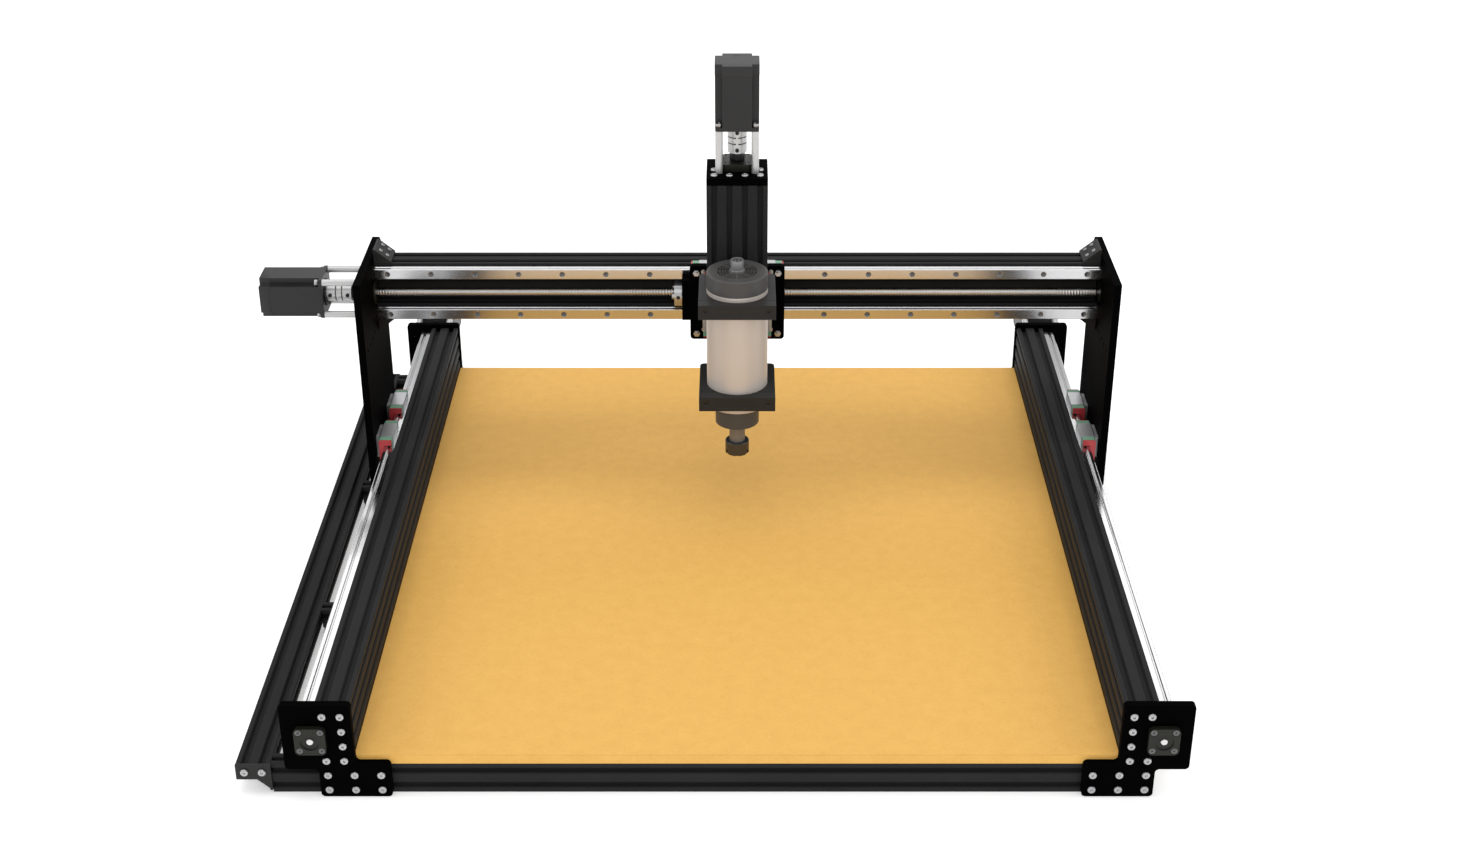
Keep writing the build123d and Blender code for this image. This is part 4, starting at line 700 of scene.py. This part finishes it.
# ---------------------------------------------------------------- sub-assemblies
@dataclass
class BallScrew:
    """A ball screw with its thread, journals, lock nut and coupling screws.

    The place is the outer face of the end plate on the motor's side, on the screw's axis.
    """

    bench: Bench
    name: str
    drive: str
    body: str
    place: Point
    facing: Facing
    plate: float
    thread_length: float
    lead: float = 4.0 * MM
    radius: float = 6.0 * MM
    groove_depth: float = 1.35 * MM
    end_gap: float = 4.0 * MM
    journal: float = 5.0 * MM
    far_journal: float = 4.0 * MM
    far_flange: float = 7.0 * MM
    journal_end: float = 37.5 * MM
    coupling_start: float = 21.5 * MM
    coupling_length: float = 34.0 * MM
    coupling_radius: float = 12.5 * MM
    turn_steps: int = 18

    def thread(self) -> bpy.types.Object:
        """Wind one groove's profile along the thread and cut its ends square.

        Returns:
            The threaded bar, its axis on Z and its top at z = 0.
        """
        low = self.radius - self.groove_depth
        middle = self.radius - self.groove_depth * 0.65
        lead = self.lead
        profile = [
            (self.radius, 0.0), (self.radius, lead * 0.22), (middle, lead * 0.34),
            (low, lead * 0.5), (low, lead * 0.66), (middle, lead * 0.84), (self.radius, lead),
        ]
        piece = self.bench.line(profile)
        turns = math.ceil(self.thread_length / lead) + 2
        settings = {
            "axis": "Z", "steps": self.turn_steps, "render_steps": self.turn_steps,
            "screw_offset": lead, "iterations": turns, "use_merge_vertices": False,
        }
        self.bench.modify(piece, "SCREW", settings)
        self.bench.clean(piece, 1e-5)
        bpy.ops.object.mode_set(mode="EDIT")
        for height, upper in ((lead * 1.5, False), (lead * 1.5 + self.thread_length, True)):
            bpy.ops.mesh.select_all(action="SELECT")
            bpy.ops.mesh.bisect(
                plane_co=(0.0, 0.0, height),
                plane_no=(0.0, 0.0, 1.0),
                use_fill=True,
                clear_outer=upper,
                clear_inner=not upper,
            )
        bpy.ops.mesh.select_all(action="SELECT")
        bpy.ops.transform.translate(value=(0.0, 0.0, -lead * 1.5 - self.thread_length))
        bpy.ops.mesh.normals_make_consistent(inside=False)
        bpy.ops.object.mode_set(mode="OBJECT")
        return piece

    def journals(self) -> list[bpy.types.Object]:
        """Turn the plain ends of the screw, chamfered at their tips.

        Returns:
            The two ends, placed as the thread is.
        """
        chamfer = 0.6 * MM
        inner = self.end_gap + self.plate
        upper = inner + self.journal_end
        lower = -self.thread_length - self.end_gap - self.plate - self.far_flange
        wide, narrow = self.journal, self.far_journal
        root = -self.thread_length + chamfer
        near = [(0.0, -chamfer), (wide, -chamfer), (wide, upper - chamfer),
                (wide - chamfer, upper), (0.0, upper)]
        far = [(0.0, lower), (narrow - chamfer, lower), (narrow, lower + chamfer),
               (narrow, root), (0.0, root)]
        return [self.bench.turned(near), self.bench.turned(far)]

    def lock_nut(self) -> bpy.types.Object:
        """Round nut with four spanner slots and a chamfered rim.

        Returns:
            The nut, its foot against the bearing.
        """
        start, end, radius, bore = 10.5 * MM, 21.0 * MM, 10.0 * MM, 5.02 * MM
        rim = 0.8 * MM
        profile = [(bore, start), (radius - rim, start), (radius, start + rim), (radius, end - rim),
                   (radius - rim, end), (bore, end), (bore, start)]
        piece = self.bench.turned(profile, 48)
        slot_width, slot_depth = 3.0 * MM, 1.6 * MM
        slot_end = 3.0 * MM
        for turn in (0.0, math.pi / 2):
            slot_size = (4 * radius, slot_width, 2 * (end - start - slot_end))
            cutter = self.bench.block((0.0, 0.0, end), slot_size, turn)
            core = self.bench.prism(radius - slot_depth, 3 * end, 32, -end / 2)
            self.bench.cut(cutter, core)
            self.bench.cut(piece, cutter)
        return piece

    def coupling_screws(self) -> bpy.types.Object:
        """Clamp screws at the coupling's two ends, with their heads let into its side.

        Returns:
            The four heads, placed on the coupling.
        """
        inset = 5.0 * MM
        offsets = (self.coupling_start + inset, self.coupling_start + self.coupling_length - inset)
        head = self.bench.cap_screw(2.6 * MM, 3.2 * MM)
        across = Facing.FRONT if self.facing not in (Facing.BACK, Facing.FRONT) else Facing.UP
        side = across.way() * (self.coupling_radius - 1.4 * MM)
        places = []
        for offset in offsets:
            for sign in (1.0, -1.0):
                turned = across if sign > 0 else OPPOSITE[across]
                places.append((self.facing.from_place(self.place, offset, side * sign), turned))
        return self.bench.spread(head, places)

    def build(self) -> None:
        """Make all pieces of this screw."""
        bench = self.bench
        screw = bench.join([self.thread(), *self.journals()])
        start = self.facing.from_place(self.place, -self.plate - self.end_gap)
        bench.put(screw, start, self.facing)
        bench.finish(
            screw, f"{self.name}_thread", self.body, "screw_steel", "screw_steel", (self.name,)
        )
        nut = bench.put(self.lock_nut(), self.place, self.facing)
        bench.finish(nut, f"{self.name}_lock_nut", self.body, "lock_nut_black", "screw_steel")
        heads = self.coupling_screws()
        bench.finish(heads, f"{self.drive}_screws", self.body, "socket_black", "fastener_steel")


OPPOSITE = {
    Facing.RIGHT: Facing.LEFT, Facing.LEFT: Facing.RIGHT, Facing.BACK: Facing.FRONT,
    Facing.FRONT: Facing.BACK, Facing.UP: Facing.DOWN, Facing.DOWN: Facing.UP,
}


@dataclass
class MotorBell:
    """Cast end bell over the free end of a motor, with its wiring slot.

    The length is the bell's own and the end is how far it reaches from the end plate.
    """

    bench: Bench
    name: str
    body: str
    place: Point
    facing: Facing
    width: float = 57.0 * MM
    notch: float = 9.4 * MM
    end: float = 144.0 * MM
    length: float = 15.0 * MM
    proud: float = 0.25 * MM
    round_width: float = 0.9 * MM
    slot_share: float = 0.28
    slot_size: Point = (9.0 * MM, 4.0 * MM, 3.0 * MM)

    def shell(self) -> bpy.types.Object:
        """Cross-shaped cover with softened edges.

        Returns:
            The cover, its axis on Z.
        """
        half, length = self.width / 2 + self.proud, self.length
        middle = (0.0, 0.0, self.end - length / 2 + self.proud)
        piece = self.bench.block(middle, (2 * half, 2 * half, length))
        cube = 2 * self.notch
        for x in (-half, half):
            for y in (-half, half):
                corner = self.bench.block((x, y, self.end), (cube, cube, 4 * length))
                self.bench.cut(piece, corner)
        settings = {"width": self.round_width, "segments": 3, "limit_method": "ANGLE"}
        self.bench.modify(piece, "BEVEL", settings)
        return piece

    def build(self) -> None:
        """Make the bell and its wiring slot."""
        bench = self.bench
        piece = self.shell()
        slot_place = (0.0, self.width * self.slot_share, self.end)
        bench.cut(piece, bench.block(slot_place, self.slot_size))
        bench.put(piece, self.place, self.facing)
        bench.finish(piece, f"{self.name}_bell", self.body, "motor_bell", "motor_case")


@dataclass
class SmallScrews:
    """Groups of equal screw heads that the solids leave out."""

    bench: Bench
    name: str
    body: str
    radius: float
    height: float
    places: list[tuple[Point, Facing | Tilt]]
    finish_name: str = "zinc"

    def build(self) -> None:
        """Make one head and copy it to every place."""
        head = self.bench.cap_screw(self.radius, self.height)
        group = self.bench.spread(head, self.places)
        self.bench.finish(group, self.name, self.body, self.finish_name, "fastener_steel")


@dataclass
class SortedScrews:
    """Merged copy of a solid group of screws, each finished by where it sits.

    The zones give a finish and the boxes, each a middle and half sizes, in which it applies.
    """

    bench: Bench
    node: str
    body: str
    zones: dict[str, list[tuple[Point, Point]]]

    @staticmethod
    def inside(point: Vector, middle: Point, halves: Point) -> bool:
        """Whether a point is in a box."""
        return all(abs(point[axis] - middle[axis]) < halves[axis] for axis in range(3))

    def build(self) -> None:
        """Copy the group, merge it, and sort its faces into their finishes."""
        piece = self.bench.copy(frame["nodes"][self.node])
        piece.parent = None
        for key in list(piece.keys()):
            del piece[key]
        self.bench.clean(piece, 1e-7)
        self.bench.finish(
            piece, f"{self.node}_sorted", self.body, "zinc", "fastener_steel", (self.node,)
        )
        for finish in self.zones:
            piece.data.materials.append(self.bench.finishes[finish])
        for face in piece.data.polygons:
            for index, boxes in enumerate(self.zones.values(), start=1):
                if any(self.inside(face.center, *box) for box in boxes):
                    face.material_index = index


@dataclass
class SpindleTrim:
    """Contact pins of the plug on top of the spindle."""

    bench: Bench
    axis_y: float = 62.0 * MM
    foot: float = 352.0 * MM
    height: float = 15.5 * MM
    pins: int = 4
    pin_radius: float = 0.8 * MM
    pin_length: float = 5.0 * MM
    pin_circle: float = 3.0 * MM
    pin_floor: float = 0.55

    def build(self) -> None:
        """Make the pins."""
        bench = self.bench
        floor = self.foot + self.height * self.pin_floor
        radius, top, tip = self.pin_radius, self.pin_length, 0.4 * MM
        profile = [(0.0, 0.0), (radius, 0.0), (radius, top - tip), (radius - tip, top), (0.0, top)]
        pin = bench.turned(profile, 16)
        places = []
        for number in range(self.pins):
            turn = 2 * math.pi * (number + 0.5) / self.pins
            x, y = self.pin_circle * math.cos(turn), self.pin_circle * math.sin(turn)
            places.append(((x, self.axis_y + y, floor), Facing.UP))
        group = bench.spread(pin, places)
        bench.finish(group, "plug_pins", "z_slide", "bare_aluminium", "bare_aluminium")


# ---------------------------------------------------------------- room
BED_MIDDLE = (0.0, 0.0, 0.05)
# Name, place, width and height, and power of each lamp.
LAMPS = (
    ("overhead", (0.0, 0.2, 3.2), (3.2, 2.6), 40.0),
    ("left_strip", (-3.0, -0.6, 1.7), (1.2, 2.4), 20.0),
    ("right_strip", (3.0, -0.6, 1.7), (1.2, 2.4), 20.0),
    ("front_fill", (0.0, -3.6, 2.2), (3.0, 1.6), 22.0),
    ("back_rim", (0.0, 3.4, 2.4), (3.0, 1.2), 18.0),
)


@dataclass
class Studio:
    """Pale floor, soft lights and the camera."""

    floor_level: float = -0.052
    floor_size: float = 60.0
    floor_glow: float = 0.34
    surroundings: float = 0.62
    camera_place: Point = (0.0011, -2.3801, 1.3990)
    camera_tilt: float = math.radians(62.463)

    def floor(self) -> None:
        """Lay the floor."""
        Bench.clear()
        place = (0.0, 0.0, self.floor_level)
        bpy.ops.mesh.primitive_plane_add(size=self.floor_size, location=place)
        floor = bpy.context.object
        floor.name = "floor"
        material = bpy.data.materials.new("pale_floor")
        graph = Graph(material)
        grains = graph.noise(graph.place(Grain.EVEN.value), 6.0)
        tint = graph.blend(grains, (0.93, 0.93, 0.93), (0.95, 0.95, 0.95))
        graph.shade(
            base_color=tint,
            roughness=0.8,
            specular_ior_level=0.2,
            emission_color=(1.0, 1.0, 1.0, 1.0),
            emission_strength=self.floor_glow,
        )
        floor.data.materials.append(material)

    @staticmethod
    def lamp(name: str, place: Point, size: tuple[float, float], power: float) -> None:
        """Hang a soft rectangular lamp that faces the bed.

        Args:
            name: The lamp's name.
            place: Its middle.
            size: Its width and height.
            power: Its power in watts.
        """
        Bench.clear()
        bpy.ops.object.light_add(type="AREA", location=place)
        lamp = bpy.context.object
        lamp.name = name
        lamp.data.shape = "RECTANGLE"
        lamp.data.size, lamp.data.size_y = size
        lamp.data.energy = power
        view = Vector(BED_MIDDLE) - Vector(place)
        lamp.rotation_euler = view.to_track_quat("-Z", "Y").to_euler()

    def build(self) -> None:
        """Set up floor, lamps, surroundings and camera."""
        self.floor()
        for row in LAMPS:
            self.lamp(*row)
        world = bpy.data.worlds.new("studio")
        world.use_nodes = True
        shade = world.node_tree.nodes["Background"]
        shade.inputs["Color"].default_value = (1.0, 1.0, 1.0, 1.0)
        shade.inputs["Strength"].default_value = self.surroundings
        scene = bpy.context.scene
        scene.world = world
        scene.view_settings.view_transform = "Standard"
        Bench.clear()
        turn = (self.camera_tilt, 0.0, 0.0)
        bpy.ops.object.camera_add(location=self.camera_place, rotation=turn)
        camera = bpy.context.object
        camera.name = "camera"
        camera.data.lens = 50.0
        camera.data.sensor_width = 36.0
        scene.camera = camera


# ---------------------------------------------------------------- the machine
@dataclass
class Router:
    """The whole machine: finishes on its solids, and the pieces added to them."""

    bench: Bench
    y_screw_x: float = 477.0 * MM
    y_screw_z: float = 28.0 * MM
    y_plate_face: float = 508.0 * MM
    x_plate_face: float = 510.0 * MM
    x_screw_y: float = 218.4 * MM
    x_screw_z: float = 253.7 * MM
    z_screw_y: float = 162.4 * MM
    z_plate_face: float = 457.5 * MM
    frame_plate: float = 8.0 * MM
    wide_plate: float = 10.0 * MM
    long_thread: float = 992.0 * MM
    short_thread: float = 292.0 * MM
    rail_offset: float = 30.0 * MM
    rail_width: float = 15.0 * MM
    fixed_spot: float = 14.85 * MM
    floating_spot: float = 12.37 * MM

    def dress(self) -> None:
        """Give every solid its finish."""
        for finish, names in NODE_FINISH.items():
            for name in names:
                node = frame["nodes"][name]
                for slot in node.material_slots:
                    slot.material = self.bench.finishes[finish]
                LOG.info("%s: finish %s", name, finish)

    def drives(self) -> None:
        """Build the four screws and the four motor bells."""
        y_left = (-self.y_screw_x, self.y_plate_face, self.y_screw_z)
        y_right = (self.y_screw_x, self.y_plate_face, self.y_screw_z)
        x_place = (-self.x_plate_face, self.x_screw_y, self.x_screw_z)
        z_place = (0.0, self.z_screw_y, self.z_plate_face)
        rows = (
            ("y_screw_left", "y_drive_left", "y_drive_train_left", "frame", y_left, Facing.BACK,
             self.frame_plate, self.long_thread),
            ("y_screw_right", "y_drive_right", "y_drive_train_right", "frame", y_right, Facing.BACK,
             self.frame_plate, self.long_thread),
            ("x_screw", "x_drive", "x_drive_train", "gantry", x_place, Facing.LEFT,
             self.wide_plate, self.long_thread),
            ("z_screw", "z_drive", "z_drive_train", "z_slide", z_place, Facing.UP,
             self.wide_plate, self.short_thread),
        )
        for name, drive, body, holder, place, facing, plate, length in rows:
            BallScrew(self.bench, name, drive, body, place, facing, plate, length).build()
            MotorBell(self.bench, f"{drive}_motor", holder, place, facing).build()

    @staticmethod
    def flange_spots(axis: Point, offset: float, along: int) -> list[tuple[Point, Point]]:
        """Boxes round the four screws of a bearing flange.

        Args:
            axis: Middle of the flange.
            offset: How far each screw is from the middle, both ways.
            along: Number of the screw's axis.
        """
        reach, half = 14.0 * MM, 5.0 * MM
        first, second = (number for number in range(3) if number != along)
        spots = []
        for side in (-offset, offset):
            for other in (-offset, offset):
                middle, halves = list(axis), [half, half, half]
                middle[first] += side
                middle[second] += other
                halves[along] = reach
                spots.append((tuple(middle), tuple(halves)))
        return spots

    def sorted_screws(self) -> list[SortedScrews]:
        """The three solid groups of screws, with their dark and grey ones picked out."""
        fixed, floating = self.fixed_spot, self.floating_spot
        frame_dark, margin = [], 0.5 * MM
        for side in (-self.y_screw_x, self.y_screw_x):
            back = (side, self.y_plate_face, self.y_screw_z)
            front = (side, -self.y_plate_face, self.y_screw_z)
            frame_dark += self.flange_spots(back, fixed, 1) + self.flange_spots(front, floating, 1)
        low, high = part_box("y_rails")
        frame_rail = [
            ((sign * 479.0 * MM, 0.0, (low.z + high.z) / 2),
             (9.5 * MM, high.y, (high.z - low.z) / 2 + margin))
            for sign in (-1.0, 1.0)
        ]
        left = (-self.x_plate_face, self.x_screw_y, self.x_screw_z)
        right = (self.x_plate_face, self.x_screw_y, self.x_screw_z)
        gantry_dark = self.flange_spots(left, fixed, 0) + self.flange_spots(right, floating, 0)
        low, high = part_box("x_rails")
        half_rail = self.rail_width / 2 + margin
        gantry_rail = [
            ((0.0, (low.y + high.y) / 2, self.x_screw_z + sign * self.rail_offset),
             (high.x, (high.y - low.y) / 2 + margin, half_rail))
            for sign in (-1.0, 1.0)
        ]
        low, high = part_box("z_rails")
        z_rail = [
            ((sign * self.rail_offset, (low.y + high.y) / 2, (low.z + high.z) / 2),
             (half_rail, (high.y - low.y) / 2 + margin, (high.z - low.z) / 2))
            for sign in (-1.0, 1.0)
        ]
        top = (0.0, self.z_screw_y, self.z_plate_face)
        bottom = (0.0, self.z_screw_y, low.z - self.wide_plate)
        low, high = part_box("clamp_fronts")
        clamp = ((0.0, low.y, (low.z + high.z) / 2), (60.0 * MM, 12.0 * MM, (high.z - low.z) / 2))
        z_dark = [*self.flange_spots(top, fixed, 2), *self.flange_spots(bottom, floating, 2)]
        return [
            SortedScrews(self.bench, "frame_screws", "frame",
                         {"flange_screw": frame_dark, "rail_screw": frame_rail}),
            SortedScrews(self.bench, "gantry_screws", "gantry",
                         {"flange_screw": gantry_dark, "rail_screw": gantry_rail}),
            SortedScrews(self.bench, "z_screws", "z_slide",
                         {"flange_screw": z_dark, "socket_black": [clamp], "rail_screw": z_rail}),
        ]

    def bracket_heads(self) -> SmallScrews:
        """Screws in the slopes of the brackets between the cross beam and its plates."""
        low_y, high_y = 233.4 * MM, 253.4 * MM
        tops, feet = (497.5 * MM, 60.0 * MM), (476.0 * MM, 42.5 * MM)
        across, up = tops[1] - feet[1], tops[0] - feet[0]
        places = []
        for side in (-1.0, 1.0):
            for level in (-1.0, 1.0):
                tilt = Tilt.towards(-side * across, level * up)
                for share in (0.3, 0.7):
                    x = side * (feet[0] + (tops[0] - feet[0]) * share)
                    z = self.x_screw_z + level * (feet[1] + (tops[1] - feet[1]) * share)
                    places += [((x, y, z), tilt) for y in (low_y, high_y)]
        return SmallScrews(self.bench, "bracket_screws", "gantry", 2.8 * MM, 1.6 * MM, places)

    def grease_port(self) -> SmallScrews:
        """Plugged grease hole in the flange of the cross screw's nut."""
        places = [((-81.0 * MM, 197.4 * MM, self.x_screw_z), Facing.FRONT)]
        return SmallScrews(self.bench, "grease_port", "carriage", 2.6 * MM, 0.8 * MM, places,
                           "socket_black")

    def nut_heads(self) -> list[SmallScrews]:
        """Screws through the flanges of the ball nuts."""
        circle, flange = 16.0 * MM, 11.0 * MM
        radius, height = 3.6 * MM, 3.4 * MM
        x_low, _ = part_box("nut_plates")
        _, z_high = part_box("nut_plates")
        x_face = (x_low.x - flange, self.x_screw_y, self.x_screw_z)
        z_face = (0.0, self.z_screw_y, z_high.z + flange)
        carriage = [
            ((x_face[0], x_face[1] + side, x_face[2]), Facing.LEFT) for side in (-circle, circle)
        ]
        carriage += [
            ((z_face[0], z_face[1] + side, z_face[2]), Facing.UP) for side in (-circle, circle)
        ]
        y_low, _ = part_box("y_ball_nuts")
        gantry = [
            ((sign * self.y_screw_x + side, y_low.y, self.y_screw_z), Facing.FRONT)
            for sign in (-1, 1)
            for side in (-circle, circle)
        ]
        return [
            SmallScrews(self.bench, "carriage_nut_screws", "carriage", radius, height, carriage),
            SmallScrews(self.bench, "gantry_nut_screws", "gantry", radius, height, gantry),
        ]

    def build(self) -> None:
        """Dress the solids and build every added piece."""
        self.dress()
        self.drives()
        SpindleTrim(self.bench).build()
        for screws in (*self.sorted_screws(), *self.nut_heads()):
            screws.build()
        self.bracket_heads().build()
        self.grease_port().build()


def main() -> None:
    """Build the looks of the whole machine."""
    logging.basicConfig(level=logging.INFO, format="%(name)s: %(message)s")
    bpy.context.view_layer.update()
    Bench.clear()
    finishes = {finish.name: finish.build() for finish in FINISHES}
    bench = Bench(finishes)
    Router(bench).build()
    Studio().build()
    LOG.info("%d pieces added", bench.count)


if __name__ == "__main__":
    main()
